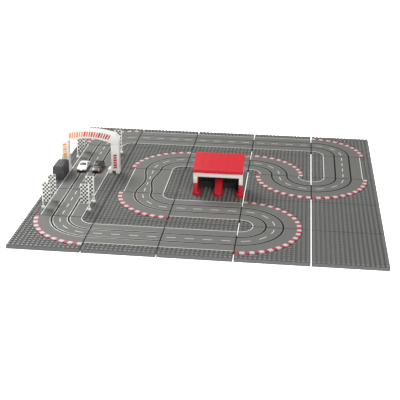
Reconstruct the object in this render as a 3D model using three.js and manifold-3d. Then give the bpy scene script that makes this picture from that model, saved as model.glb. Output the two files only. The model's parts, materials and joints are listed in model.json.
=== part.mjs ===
// Slot car track set: twenty-five stud-topped square tiles that carry a two-lane circuit,
// with a start arch, chequered banners, a pit building, a power terminal and two slot cars.
//
// Units are millimetres. +X is right, +Y is towards the back and +Z is up. The origin is the
// centre of the table of tiles, at the height of the surface that it stands on.

import * as THREE from 'three';
import { mergeVertices } from 'three/addons/utils/BufferGeometryUtils.js';
import Module from 'manifold-3d';

const wasm = await Module();
wasm.setup();

// ---------------------------------------------------------------- tiles
const STUD_PITCH = 8;            // grid of the studs, which everything is placed on
const TILE_STUDS = 16;           // studs along a tile's side
const TILE_GAP = 2;              // gap between neighbouring tiles
const GRID = 5;                  // tiles along the table's side
const DECK_TOP = 6.4;            // thickness of a tile's stud deck
const TRACK_STUDS = 10;          // width of the track, in studs
const TRACK_RISE = 1.8;          // height of the track above the deck
const KERB_WIDTH = 8;            // kerb on the outside of a curve
const LANE_OFFSET = 15.5;        // from the track's centre line to each slot
const SQUEEZE_OFFSET = 7;        // the same at the middle of the squeeze tile
const SLOT_WIDTH = 1.6;
const SLOT_DEPTH = 3.3;
const RIM = 2;                   // wall round a tile's underside
const RIB = 4;                   // cross rib under a tile
const CAVITY = 3.2;              // height of the hollow under a tile
const CELLS = 2;                 // hollow cells along a tile's side
const TONGUE_WIDTH = 72;         // tongue that links a track tile to the next one
const TONGUE_HEIGHT = 2.4;
const TONGUE_REACH = 3;          // how far the tongue passes the next tile's rim
const ARC_STEPS = 8;             // straight steps in a quarter turn of track
const POLE_SIDES = 12;           // flats round a pole, a pin, a shaft and a wheel
const PIN_SIDES = 16;
const SHAFT_SIDES = 20;
const WHEEL_SIDES = 24;

// The circuit, driven towards the back from the start tile: S is a straight, R and L are
// right and left curves, and Q is the straight whose two lanes squeeze together.
const CIRCUIT = 'SSRSSSRSRRLSLQLSRRSSRS';
const START_ROW = 2;             // rows count from the front and columns from the left
const START_COLUMN = 0;
const PIT_ROW = 2;
const PIT_COLUMN = 2;

// ---------------------------------------------------------------- fits
const FIT = 0.3;                 // play round a part that is cut to fit another
const SEAT = 0.05;               // gap under a part that rests on another
const RUNNING = 0.08;            // radial play of a turning shaft

// ---------------------------------------------------------------- start arch
const PYLON_WIDTH = 17;
const PYLON_DEPTH_STUDS = 2;
const PYLON_BASE_STUDS = 3;
const PYLON_BASE_HEIGHT = 9.6;
const PYLON_HEIGHT = 62.4;       // from the deck to the top of a pylon
const PYLON_TUNNEL = [8, 6.5];   // width and height of the notch through a base
const ARCH_FRONT_STUDS = 12;     // from the front of the start tile to the arch
const BEAM_RISE = 30;            // from the top of the pylons to the crown of the beam
const BEAM_BAND = 18.8;          // height of the beam at the middle
const BEAM_OUTER_RADIUS = 177;
const BEAM_INNER_RADIUS = 122;
const BEAM_SHOULDER = 14;        // width of each rounded shoulder
const BEAM_SHOULDER_DROP = 16;   // how far the shoulder falls to the beam's end

// ---------------------------------------------------------------- banners
const BANNER_POLE_RADIUS = 1.2;
const BANNER_FOOT = [3.6, 3.4];  // radius and height
const BANNER_HEIGHT = 53;        // from the deck to the top of the pole
const BANNER_CAR_GAP = 3;        // from the edge of a panel to a passing car
const BANNER_PANEL_HEIGHT = 39;
const BANNER_PANEL_THICKNESS = 1.2;
const BANNER_FINIAL = 1;         // pole that stands above the panel
const BANNER_STUD = 2.5;         // stud, counted from the tile's side, that holds a pole
// Row of tiles and stud, counted from its front, of each pair of banners.
const BANNER_PAIRS = [[1, 4.5], [1, 9.5], [3, 6.5], [3, 11.5]];

// ---------------------------------------------------------------- power terminal
const TERMINAL_STUDS = [3, 5.5]; // width and depth
const TERMINAL_FRONT_STUDS = 6;  // from the front of the start tile
const TERMINAL_BOX_HEIGHT = 21;
const TERMINAL_LID_HEIGHT = 7.5;
const TERMINAL_CHAMFER = 3;
const TERMINAL_WALL = 1.6;
const TERMINAL_LIP = 2;

// ---------------------------------------------------------------- pit building
const PIT_STUDS = [12, 6];       // width and depth
const PIT_LEFT = 30.6;           // from the tile's left side
const PIT_FRONT = 6;             // from the tile's front to the posts
const PIT_POST = 8;
const PIT_WALL_HEIGHT = 24.8;    // outer dividers, which carry the posts
const PIT_BEAM_BOTTOM = 38.4;    // above the deck
const PIT_BEAM_HEIGHT = 9.6;
const PIT_BACK_WALL = 6;
const PIT_GABLE = 4;             // thickness of the white side walls
const PIT_ROOF_RISE = 18;        // over the depth of the building
const PIT_ROOF_THICKNESS = 5.6;
const PIT_ROOF_EAVE = 4;         // overhang at the front
const PIT_DIVIDER = 14;          // thickness of the centre divider
const PIT_TOE_WIDTH = 16;
const PIT_TOE_HEIGHT = 7;
const PIT_TOE_REACH = 4;         // toe in front of the posts
const PIT_TOE_OUT = 2;           // toe of an outer divider beyond its wall's outer face
const PIT_TOE_STEP = 1;          // step from the centre toe to its wall

// ---------------------------------------------------------------- cars
const CAR_WIDTH = 20;
const CAR_CLEARANCE = 1.8;       // sill above the track
const CAR_NOSE = 8.5;            // from the guide's pivot to the nose
const CAR_OVERHANG = 9.5;        // from the rear axle to the tail
const BUMPER_HEIGHT = 4.2;       // top of the bumper above the track
const BONNET_EDGE = [1.4, 5.5];  // front of the bonnet: behind the nose, and above the track
const FRONT_ARCH_COVER = 0.4;    // body over the wheel arches
const REAR_ARCH_COVER = 0.7;
const ARCH_TO_COWL = 1;          // from the wheels to the windscreen and to the boot
const COWL_RISE = 0.5;           // from the front wings to the foot of the windscreen
const CABIN_HEIGHT = 4.3;        // from there to the roof
const CABIN_LENGTH = 15.5;       // from there to the back of the roof
const SCREEN_LENGTH = 7;         // how far the windscreen leans back
const WINDOW_END = 14;           // back of the side windows
const WINDOW_SILL = 0.4;         // above the foot of the windscreen
const SPOILER_RISE = 0.1;        // the tail above the boot
const CAR_PIVOT_STUDS = 12.25;   // pivot at rest, from the front of the start tile
const SHELL = 1;                 // wall of the body shell
const WHEEL_GAP = 0.1;           // tyre to track
const FRONT_AXLE = 4.5;          // behind the guide's pivot
const WHEELBASE = 23.5;
const FRONT_WHEEL = [3.5, 3.2];  // radius and width
const REAR_WHEEL = [4.2, 4];
const WHEEL_INSET = 0.4;         // tyre inside the body's side
const AXLE_RADIUS = 0.75;
const ARCH_PLAY = 0.7;           // wheel arch round a tyre
const GLAZING_WALL = 0.7;
const GLAZING_TAIL = 1.5;        // foot of the glazing behind the roof
const CHASSIS_WIDTH = 10;
const CHASSIS_THICKNESS = 1.2;
const CHASSIS_CLEARANCE = 1.2;   // chassis above the track
const BEARING_WIDTH = 1.4;
const BEARING_WALL = 1;
const POD_WIDTH = 17;
const POD_LENGTH = 11;
const GUIDE_BLADE = [1.1, 6.5];  // width and length
const GUIDE_FLOAT = 0.6;         // blade above the floor of the slot
const GUIDE_PIN_RADIUS = 1;
const GUIDE_FLANGE = [2.4, 0.5]; // radius and thickness
const GUIDE_PIN_ABOVE = 1;       // pin above the chassis
const PINION_RADIUS = 1.2;
const PINION_LENGTH = 1.4;
const PINION_TO_AXLE = 1.4;
const PINION_TO_MOTOR = 1;
const SHAFT_ENDS = [0.6, 0.2];   // shaft past the can, and short of the pinion's end
const CROWN_RADIUS = 3.5;
const CROWN_THICKNESS = 1.3;
const MOTOR_SHAFT_RADIUS = 0.5;
const MOTOR = [8, 10, 6];        // diameter, length and height of the flattened can
const MESH_GAP = 0.1;            // between the pinion and the crown gear

// ---------------------------------------------------------------- worked out
const TILE = STUD_PITCH * TILE_STUDS;
const TILE_PITCH = TILE + TILE_GAP;
const TABLE = GRID * TILE_PITCH - TILE_GAP;
const TRACK_TOP = DECK_TOP + TRACK_RISE;
const TRACK_WIDTH = TRACK_STUDS * STUD_PITCH;
const HALF_TILE = TILE / 2;
const BEYOND = 1;                // how far a cutter passes the face that it cuts
const ARC_BEYOND = 0.05;         // the same at each end of a curve, in radians

// ---------------------------------------------------------------- colours
const PAINT = {
  deck: [0x4b4d4f, 0.55],
  white: [0xe9e7e0, 0.4],
  red: [0xc8202a, 0.35],
  terminal: [0x3f4143, 0.6],
  wall: [0x2b302e, 0.6],
  whiteCar: [0xf1f1ee, 0.25],
  darkCar: [0x2b2b2d, 0.25],
  glass: [0x14201d, 0.1],
  chassis: [0x1b1b1c, 0.6],
  steel: [0xb9babc, 0.3, 0.9],
  tyre: [0x151515, 0.8],
  guide: [0x202020, 0.5],
};

function paint(name) {
  const [color, roughness, metalness = 0] = PAINT[name];
  return new THREE.MeshStandardMaterial({ color, roughness, metalness });
}

// ---------------------------------------------------------------- solids
function solidOf(geometry) {
  const bare = geometry.index ? geometry.toNonIndexed() : geometry.clone();
  bare.deleteAttribute('normal');
  bare.deleteAttribute('uv');
  const merged = mergeVertices(bare);
  return new wasm.Manifold(new wasm.Mesh({
    numProp: 3,
    vertProperties: new Float32Array(merged.attributes.position.array),
    triVerts: new Uint32Array(merged.index.array),
  }));
}

function geometryOf(solid) {
  const { vertProperties, triVerts } = solid.getMesh();
  const geometry = new THREE.BufferGeometry();
  geometry.setAttribute('position', new THREE.BufferAttribute(new Float32Array(vertProperties), 3));
  geometry.setIndex(new THREE.BufferAttribute(new Uint32Array(triVerts), 1));
  const flat = geometry.toNonIndexed();
  flat.computeVertexNormals();
  return flat;
}

const join = (...geometries) => geometries.map(solidOf).reduce((all, one) => all.add(one));

function cut(solid, ...geometries) {
  return geometries.reduce((rest, one) => rest.subtract(solidOf(one)), solid);
}

function piece(name, solid, finish) {
  const mesh = new THREE.Mesh(geometryOf(solid), paint(finish));
  mesh.name = name;
  return mesh;
}

// A block between two opposite corners.
function block(low, high) {
  const size = high.map((value, axis) => value - low[axis]);
  const middle = high.map((value, axis) => (value + low[axis]) / 2);
  return new THREE.BoxGeometry(...size).translate(...middle);
}

// A shape in X and Y, raised from one height to another.
function raised(shape, bottom, top, steps = ARC_STEPS) {
  const depth = top - bottom;
  const options = { depth, bevelEnabled: false, curveSegments: steps };
  return new THREE.ExtrudeGeometry(shape, options).translate(0, 0, bottom);
}

// An outline of [y, z] points, carried across X and centred on it.
function sideways(points, width, centre = 0) {
  const shape = new THREE.Shape(points.map(([y, z]) => new THREE.Vector2(y, z)));
  const turn = new THREE.Matrix4().makeBasis(
    new THREE.Vector3(0, 1, 0), new THREE.Vector3(0, 0, 1), new THREE.Vector3(1, 0, 0));
  const geometry = new THREE.ExtrudeGeometry(shape, { depth: width, bevelEnabled: false });
  return geometry.applyMatrix4(turn).translate(centre - width / 2, 0, 0);
}

// A shape in X and Z, carried back from the plane Y = front.
function backwards(shape, front, depth) {
  const geometry = new THREE.ExtrudeGeometry(shape, { depth, bevelEnabled: false, curveSegments: ARC_STEPS });
  return geometry.rotateX(Math.PI / 2).translate(0, front + depth, 0);
}

// Round bars along each axis, from one end to the other.
function upright(radius, bottom, top, sides = PIN_SIDES) {
  const bar = new THREE.CylinderGeometry(radius, radius, top - bottom, sides).rotateX(Math.PI / 2);
  return bar.translate(0, 0, (top + bottom) / 2);
}

function acrossX(radius, left, right, y, z, sides = SHAFT_SIDES) {
  const bar = new THREE.CylinderGeometry(radius, radius, right - left, sides).rotateZ(Math.PI / 2);
  return bar.translate((left + right) / 2, y, z);
}

function alongY(radius, front, back, z, sides = PIN_SIDES) {
  const bar = new THREE.CylinderGeometry(radius, radius, back - front, sides);
  return bar.translate(0, (front + back) / 2, z);
}

// Radius of a bore with flat facets that a shaft of the given radius turns in.
const boreFor = (radius, sides) => (radius + RUNNING) / Math.cos(Math.PI / sides);

// ---------------------------------------------------------------- tiles
// A tile is built about its own centre, and driven from its front (-Y) side.
function tilePlate() {
  const cell = (TILE - 2 * RIM - (CELLS - 1) * RIB) / CELLS;
  const first = -HALF_TILE + RIM;
  const hollows = [];
  for (let i = 0; i < CELLS; i += 1) {
    for (let j = 0; j < CELLS; j += 1) {
      const x = first + i * (cell + RIB);
      const y = first + j * (cell + RIB);
      hollows.push(block([x, y, -BEYOND], [x + cell, y + cell, CAVITY]));
    }
  }
  return cut(solidOf(tileBlock(0, DECK_TOP)), ...hollows);
}

function tileBlock(bottom, top) {
  return block([-HALF_TILE, -HALF_TILE, bottom], [HALF_TILE, HALF_TILE, top]);
}

// Part of a ring about the front corner on the given side (1 right, -1 left) of a tile.
function ringPart(side, inner, outer, bottom, top) {
  const from = (side > 0 ? Math.PI / 2 : 0) - ARC_BEYOND;
  const to = from + Math.PI / 2 + 2 * ARC_BEYOND;
  const shape = new THREE.Shape();
  shape.absarc(0, 0, outer, from, to, false);
  shape.absarc(0, 0, inner, to, from, true);
  return raised(shape, bottom, top).translate(side * HALF_TILE, -HALF_TILE, 0);
}

// A slot whose distance from the centre line may change along the tile.
function slotAlong(offsetAt) {
  const steps = 2 * ARC_STEPS;
  const length = TILE + 2 * BEYOND;
  const places = Array.from({ length: steps + 1 }, (_, i) => -length / 2 + (i * length) / steps);
  const edge = (side) => places.map((y) => new THREE.Vector2(offsetAt(y) + (side * SLOT_WIDTH) / 2, y));
  const shape = new THREE.Shape([...edge(1), ...edge(-1).reverse()]);
  return raised(shape, TRACK_TOP - SLOT_DEPTH, TRACK_TOP + BEYOND);
}

function straightSlot(offset) {
  const half = SLOT_WIDTH / 2;
  const end = HALF_TILE + BEYOND;
  return block([offset - half, -end, TRACK_TOP - SLOT_DEPTH], [offset + half, end, TRACK_TOP + BEYOND]);
}

// Distance of a lane from the centre line on the squeeze tile.
function squeezeOffset(y) {
  const wave = (1 - Math.cos((2 * Math.PI * y) / TILE)) / 2;
  return SQUEEZE_OFFSET + (LANE_OFFSET - SQUEEZE_OFFSET) * wave;
}

// The tongue leaves by the exit side, and the notch that takes the last tile's is at the entry.
function tongue(exitAngle) {
  const half = TONGUE_WIDTH / 2;
  const end = HALF_TILE + TILE_GAP + RIM + TONGUE_REACH;
  return block([-half, HALF_TILE - RIM, 0], [half, end, TONGUE_HEIGHT]).rotateZ(exitAngle);
}

function notch() {
  const half = TONGUE_WIDTH / 2 + FIT;
  const end = -HALF_TILE + RIM + TONGUE_REACH + FIT;
  return block([-half, -HALF_TILE - BEYOND, -BEYOND], [half, end, TONGUE_HEIGHT + FIT]);
}

function linked(plate, exitAngle) {
  return cut(plate, notch()).add(solidOf(tongue(exitAngle)));
}

function straightTile(slots) {
  const half = TRACK_WIDTH / 2;
  const strip = block([-half, -HALF_TILE, CAVITY], [half, HALF_TILE, TRACK_TOP]);
  return cut(linked(tilePlate(), 0).add(solidOf(strip)), ...slots);
}

function curveTile(side) {
  const inner = HALF_TILE - TRACK_WIDTH / 2;
  const outer = HALF_TILE + TRACK_WIDTH / 2 + KERB_WIDTH;
  const band = solidOf(ringPart(side, inner, outer, CAVITY, TRACK_TOP))
    .intersect(solidOf(tileBlock(0, TRACK_TOP + BEYOND)));
  const slots = [-LANE_OFFSET, LANE_OFFSET].map((offset) => {
    const radius = HALF_TILE + offset;
    const half = SLOT_WIDTH / 2;
    return ringPart(side, radius - half, radius + half, TRACK_TOP - SLOT_DEPTH, TRACK_TOP + BEYOND);
  });
  return cut(linked(tilePlate(), (-side * Math.PI) / 2).add(band), ...slots);
}

const LANES = [-LANE_OFFSET, LANE_OFFSET];
const TILE_KINDS = {
  S: { name: 'straight_tile', turn: 0, make: () => straightTile(LANES.map(straightSlot)) },
  Q: {
    name: 'squeeze_tile',
    turn: 0,
    make: () => straightTile([-1, 1].map((side) => slotAlong((y) => side * squeezeOffset(y)))),
  },
  R: { name: 'curve_tile', turn: -1, make: () => curveTile(1) },
  L: { name: 'curve_tile', turn: 1, make: () => curveTile(-1) },
};

const tileCentre = (row, column) => [column, row].map((n) => n * TILE_PITCH + HALF_TILE - TABLE / 2);

// Front-left corner of a tile, which positions on it are counted from.
const tileCorner = (row, column) => tileCentre(row, column).map((value) => value - HALF_TILE);

function trackTiles() {
  const group = new THREE.Group();
  const used = new Set();
  const counts = {};
  let [row, column, heading] = [START_ROW, START_COLUMN, 0];
  [...CIRCUIT].forEach((letter, index) => {
    const kind = TILE_KINDS[letter];
    const number = index === 0 ? 0 : (counts[kind.name] ?? 0) + 1;
    counts[kind.name] = number;
    const numbered = kind.name === 'squeeze_tile' ? kind.name : `${kind.name}_${number}`;
    const mesh = piece(index === 0 ? 'start_tile' : numbered, kind.make(), 'deck');
    mesh.position.set(...tileCentre(row, column), 0);
    mesh.rotation.z = (heading * Math.PI) / 2;
    group.add(mesh);
    used.add(`${row},${column}`);
    heading += kind.turn;
    column -= Math.round(Math.sin((heading * Math.PI) / 2));
    row += Math.round(Math.cos((heading * Math.PI) / 2));
  });
  return { group, used };
}

function plainTiles(used) {
  const group = new THREE.Group();
  for (let row = 0; row < GRID; row += 1) {
    for (let column = 0; column < GRID; column += 1) {
      if (used.has(`${row},${column}`)) continue;
      const mesh = piece(`plain_tile_${group.children.length + 1}`, tilePlate(), 'deck');
      mesh.position.set(...tileCentre(row, column), 0);
      group.add(mesh);
    }
  }
  return group;
}

// ---------------------------------------------------------------- start arch
// The arch is built with X = 0 at the left side of the start tile and Z = 0 at the deck.
function pylon(outer, inward) {
  const depth = PYLON_DEPTH_STUDS * STUD_PITCH;
  const base = PYLON_BASE_STUDS * STUD_PITCH;
  const between = (a, b) => [Math.min(a, b), Math.max(a, b)];
  const [baseLow, baseHigh] = between(outer.base, outer.base + inward * base);
  const [low, high] = between(outer.column, outer.column + inward * PYLON_WIDTH);
  const middle = (baseLow + baseHigh) / 2;
  const [tunnel, rise] = PYLON_TUNNEL;
  const solid = join(
    block([baseLow + SEAT, 0, SEAT], [baseHigh - FIT, depth, PYLON_BASE_HEIGHT]),
    block([low + SEAT, 0, rise], [high - FIT, depth, PYLON_HEIGHT]));
  const half = tunnel / 2;
  return cut(solid, block([middle - half, -BEYOND, -BEYOND], [middle + half, depth + BEYOND, rise]));
}

// Outline of the beam in X and Z, centred on the span, with Z counted from the deck.
function beamOutline(span) {
  const half = span / 2;
  const foot = PYLON_HEIGHT + SEAT;
  const gap = half - PYLON_WIDTH;
  const bow = half - BEAM_SHOULDER;
  const crown = PYLON_HEIGHT + BEAM_RISE;
  const outerCentre = crown - BEAM_OUTER_RADIUS;
  const innerCentre = crown - BEAM_BAND - BEAM_INNER_RADIUS;
  const outerAngle = Math.asin(bow / BEAM_OUTER_RADIUS);
  const innerAngle = Math.asin(gap / BEAM_INNER_RADIUS);
  const upper = outerCentre + BEAM_OUTER_RADIUS * Math.cos(outerAngle);
  const up = Math.PI / 2;
  const shape = new THREE.Shape();
  shape.moveTo(gap, foot);
  shape.lineTo(half, foot);
  shape.lineTo(half, upper - BEAM_SHOULDER_DROP);
  shape.quadraticCurveTo(half, upper, bow, upper);
  shape.absarc(0, outerCentre, BEAM_OUTER_RADIUS, up - outerAngle, up + outerAngle, false);
  shape.quadraticCurveTo(-half, upper, -half, upper - BEAM_SHOULDER_DROP);
  shape.lineTo(-half, foot);
  shape.lineTo(-gap, foot);
  shape.absarc(0, innerCentre, BEAM_INNER_RADIUS, up + innerAngle, up - innerAngle, true);
  return shape;
}

function startArch() {
  const group = new THREE.Group();
  const depth = PYLON_DEPTH_STUDS * STUD_PITCH;
  const left = { base: 0, column: PYLON_BASE_STUDS * STUD_PITCH - PYLON_WIDTH };
  const right = { base: TILE, column: TILE };
  const span = right.column - left.column;
  const beam = backwards(beamOutline(span), 0, depth).translate((left.column + right.column) / 2, 0, 0);
  group.add(piece('arch_left_pylon', pylon(left, 1), 'white'));
  group.add(piece('arch_right_pylon', pylon(right, -1), 'white'));
  group.add(piece('arch_beam', solidOf(beam), 'white'));
  const [x, y] = tileCorner(START_ROW, START_COLUMN);
  group.position.set(x, y + ARCH_FRONT_STUDS * STUD_PITCH, DECK_TOP);
  return group;
}

// ---------------------------------------------------------------- banners
// A banner stands on one stud, and its panel reaches along +X (1) or -X (-1) from the pole.
function banner(side) {
  const carSide = HALF_TILE - LANE_OFFSET - CAR_WIDTH / 2;
  const reach = carSide - BANNER_CAR_GAP - BANNER_STUD * STUD_PITCH;
  const [footRadius, footHeight] = BANNER_FOOT;
  const top = BANNER_HEIGHT - BANNER_FINIAL;
  const half = BANNER_PANEL_THICKNESS / 2;
  const ends = side > 0 ? [0, reach] : [-reach, 0];
  return join(
    upright(footRadius, SEAT, footHeight),
    upright(BANNER_POLE_RADIUS, footHeight / 2, BANNER_HEIGHT, POLE_SIDES),
    block([ends[0], -half, top - BANNER_PANEL_HEIGHT], [ends[1], half, top]));
}

function banners() {
  const group = new THREE.Group();
  BANNER_PAIRS.forEach(([row, stud], pair) => {
    const [x, y] = tileCorner(row, START_COLUMN);
    [1, -1].forEach((side) => {
      const name = `${side > 0 ? 'left' : 'right'}_banner_${pair + 1}`;
      const mesh = piece(name, banner(side), 'white');
      const across = BANNER_STUD * STUD_PITCH;
      mesh.position.set(side > 0 ? x + across : x + TILE - across, y + stud * STUD_PITCH, DECK_TOP);
      group.add(mesh);
    });
  });
  return group;
}

// ---------------------------------------------------------------- power terminal
function powerTerminal() {
  const group = new THREE.Group();
  const [width, depth] = TERMINAL_STUDS.map((studs) => studs * STUD_PITCH - 2 * FIT);
  const wall = TERMINAL_WALL;
  const box = cut(
    solidOf(block([0, 0, SEAT], [width, depth, TERMINAL_BOX_HEIGHT])),
    block([wall, wall, 2 * wall], [width - wall, depth - wall, TERMINAL_BOX_HEIGHT + BEYOND]));
  const top = TERMINAL_BOX_HEIGHT + TERMINAL_LID_HEIGHT;
  const under = TERMINAL_BOX_HEIGHT + SEAT;
  const shoulder = top - TERMINAL_CHAMFER;
  const outline = new THREE.Shape([
    [0, under], [width, under], [width, shoulder], [width - TERMINAL_CHAMFER, top],
    [TERMINAL_CHAMFER, top], [0, shoulder],
  ].map(([x, z]) => new THREE.Vector2(x, z)));
  const lip = wall + FIT;
  const lid = join(
    backwards(outline, 0, depth),
    block([lip, lip, under - TERMINAL_LIP], [width - lip, depth - lip, under + BEYOND]));
  group.add(piece('power_terminal_housing', box, 'terminal'));
  group.add(piece('power_terminal_cover', lid, 'terminal'));
  const [x, y] = tileCorner(START_ROW, START_COLUMN);
  group.position.set(x + FIT, y + TERMINAL_FRONT_STUDS * STUD_PITCH + FIT, DECK_TOP);
  return group;
}

// ---------------------------------------------------------------- pit building
// The building is built with its front-left corner at X = 0, Y = 0 and the deck at Z = 0.
const pitWidth = () => PIT_STUDS[0] * STUD_PITCH;
const pitDepth = () => PIT_STUDS[1] * STUD_PITCH;
const pitBeamTop = () => PIT_BEAM_BOTTOM + PIT_BEAM_HEIGHT;
const roofUnder = (y) => pitBeamTop() + (PIT_ROOF_RISE * y) / pitDepth();

// A divider rises from its toe to frontTop at the posts, and on to backTop at the back wall.
function pitDivider(centre, toeCentre, thickness, frontTop, backTop) {
  const back = pitDepth() - PIT_BACK_WALL - FIT;
  const half = PIT_TOE_WIDTH / 2;
  const wall = sideways([
    [-PIT_TOE_REACH / 2, SEAT], [-PIT_TOE_REACH / 2, PIT_TOE_HEIGHT - SEAT], [0, frontTop],
    [back, backTop], [back, SEAT],
  ], thickness, centre);
  const toe = new THREE.Shape();
  toe.absarc(toeCentre, half - PIT_TOE_REACH, half, Math.PI, 2 * Math.PI, false);
  toe.lineTo(toeCentre + half, PIT_POST + half);
  toe.lineTo(toeCentre - half, PIT_POST + half);
  return join(wall, raised(toe, SEAT, PIT_TOE_HEIGHT));
}

function pitFrontFrame() {
  const width = pitWidth();
  const back = pitDepth() - PIT_BACK_WALL - FIT;
  const gable = (centre) => sideways([
    [0, PIT_BEAM_BOTTOM], [back, PIT_BEAM_BOTTOM], [back, roofUnder(back) - SEAT], [0, roofUnder(0) - SEAT],
  ], PIT_GABLE, centre);
  const post = (left) => block(
    [left, 0, PIT_WALL_HEIGHT + SEAT], [left + PIT_POST, PIT_POST, pitBeamTop() - SEAT]);
  return join(
    block([0, 0, PIT_BEAM_BOTTOM], [width, PIT_POST, pitBeamTop() - SEAT]),
    post(0), post(width - PIT_POST),
    gable(PIT_GABLE / 2), gable(width - PIT_GABLE / 2));
}

function pitBackWall() {
  const front = pitDepth() - PIT_BACK_WALL;
  const back = pitDepth();
  return solidOf(sideways([
    [front, SEAT], [back, SEAT], [back, roofUnder(back) - SEAT], [front, roofUnder(front) - SEAT],
  ], pitWidth(), pitWidth() / 2));
}

function pitRoof() {
  const front = -PIT_ROOF_EAVE;
  const back = pitDepth() + SEAT;
  return solidOf(sideways([
    [front, roofUnder(0)], [0, roofUnder(0)], [back, roofUnder(back)],
    [back, roofUnder(back) + PIT_ROOF_THICKNESS], [front, roofUnder(0) + PIT_ROOF_THICKNESS],
  ], pitWidth(), pitWidth() / 2));
}

function pitBuilding() {
  const group = new THREE.Group();
  const width = pitWidth();
  const side = PIT_POST / 2;
  const toeIn = PIT_TOE_WIDTH / 2 - PIT_TOE_OUT;
  const outer = (centre, toeCentre) => pitDivider(
    centre, toeCentre, PIT_POST, PIT_WALL_HEIGHT, PIT_WALL_HEIGHT);
  group.add(piece('pit_divider_left', outer(side, toeIn), 'red'));
  group.add(piece('pit_divider_centre', pitDivider(
    width / 2, width / 2, PIT_DIVIDER, PIT_TOE_HEIGHT + PIT_TOE_STEP, PIT_BEAM_BOTTOM - SEAT), 'red'));
  group.add(piece('pit_divider_right', outer(width - side, width - toeIn), 'red'));
  group.add(piece('pit_front_frame', pitFrontFrame(), 'white'));
  group.add(piece('pit_back_wall', pitBackWall(), 'wall'));
  group.add(piece('pit_roof', pitRoof(), 'red'));
  const [x, y] = tileCorner(PIT_ROW, PIT_COLUMN);
  group.position.set(x + PIT_LEFT, y + PIT_FRONT, DECK_TOP);
  return group;
}

// ---------------------------------------------------------------- cars
// A car is built about its guide's pivot, with the track's surface at Z = 0 and its nose at -Y.
const rearAxle = FRONT_AXLE + WHEELBASE;
const tail = rearAxle + CAR_OVERHANG;
const frontAxleHeight = FRONT_WHEEL[0] + WHEEL_GAP;
const rearAxleHeight = REAR_WHEEL[0] + WHEEL_GAP;
const chassisTop = CHASSIS_CLEARANCE + CHASSIS_THICKNESS;
const pinionBack = rearAxle - AXLE_RADIUS - PINION_TO_AXLE;
const pinionFront = pinionBack - PINION_LENGTH;
const motorBack = pinionFront - PINION_TO_MOTOR;
const motorFront = motorBack - MOTOR[1];
const crownLeft = PINION_RADIUS + MESH_GAP;
const cowl = FRONT_AXLE + FRONT_WHEEL[0] + ARCH_TO_COWL;
const wingTop = frontAxleHeight + FRONT_WHEEL[0] + ARCH_PLAY + FRONT_ARCH_COVER;
const cowlTop = wingTop + COWL_RISE;
const roofTop = cowlTop + CABIN_HEIGHT;
const bootTop = rearAxleHeight + REAR_WHEEL[0] + ARCH_PLAY + REAR_ARCH_COVER;

// Side outline of the body; inset gives the same outline of the hollow inside.
function bodyOutline(inset) {
  const floor = inset > 0 ? CAR_CLEARANCE - BEYOND : CAR_CLEARANCE;
  const nose = -CAR_NOSE + inset;
  const end = tail - inset;
  const [edge, edgeTop] = BONNET_EDGE;
  return [
    [nose, floor], [nose, BUMPER_HEIGHT - inset / 2], [nose + edge, edgeTop - inset / 2],
    [FRONT_AXLE - FRONT_WHEEL[0], wingTop - inset], [cowl + inset, cowlTop - inset],
    [cowl + SCREEN_LENGTH + inset, roofTop - inset], [cowl + CABIN_LENGTH - inset, roofTop - inset],
    [rearAxle + REAR_WHEEL[0] + ARCH_TO_COWL, bootTop - inset],
    [end, bootTop + SPOILER_RISE - inset], [end, floor],
  ];
}

function wheelArch(radius, y, z) {
  const half = CAR_WIDTH / 2 + BEYOND;
  return acrossX(radius + ARCH_PLAY, -half, half, y, z, WHEEL_SIDES);
}

// Openings for the windscreen and the side windows.
function windowOpenings() {
  const sill = cowlTop + WINDOW_SILL;
  const head = roofTop - 2 * SHELL;
  const half = CAR_WIDTH / 2;
  const screen = cowl + SCREEN_LENGTH;
  return [
    block([-half + 3 * SHELL, cowl - SHELL, sill], [half - 3 * SHELL, screen - SHELL, head]),
    block([-half - BEYOND, screen, sill], [half + BEYOND, cowl + WINDOW_END, head]),
  ];
}

function carBody() {
  return cut(
    solidOf(sideways(bodyOutline(0), CAR_WIDTH)),
    sideways(bodyOutline(SHELL), CAR_WIDTH - 2 * SHELL),
    wheelArch(FRONT_WHEEL[0], FRONT_AXLE, frontAxleHeight),
    wheelArch(REAR_WHEEL[0], rearAxle, rearAxleHeight),
    ...windowOpenings());
}

// The glazing is a clear cap inside the cabin, open below and clear of the motor.
function carGlazing() {
  const foot = rearAxleHeight + MOTOR[2] / 2 + FIT;
  const cap = (inset, floor) => [
    [cowl + inset, floor], [cowl + SCREEN_LENGTH + inset, roofTop - inset],
    [cowl + CABIN_LENGTH - inset, roofTop - inset], [cowl + CABIN_LENGTH + GLAZING_TAIL - inset, floor],
  ];
  const outer = SHELL + FIT;
  const inner = outer + GLAZING_WALL;
  return cut(
    solidOf(sideways(cap(outer, foot), CAR_WIDTH - 2 * outer)),
    sideways(cap(inner, foot - BEYOND), CAR_WIDTH - 2 * inner));
}

function axleBearings(y, height) {
  const outer = CHASSIS_WIDTH / 2;
  const half = AXLE_RADIUS + BEARING_WALL;
  return [-1, 1].map((side) => {
    const [low, high] = side > 0 ? [outer - BEARING_WIDTH, outer] : [-outer, -outer + BEARING_WIDTH];
    return block([low, y - half, CHASSIS_CLEARANCE], [high, y + half, height + half]);
  });
}

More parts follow.
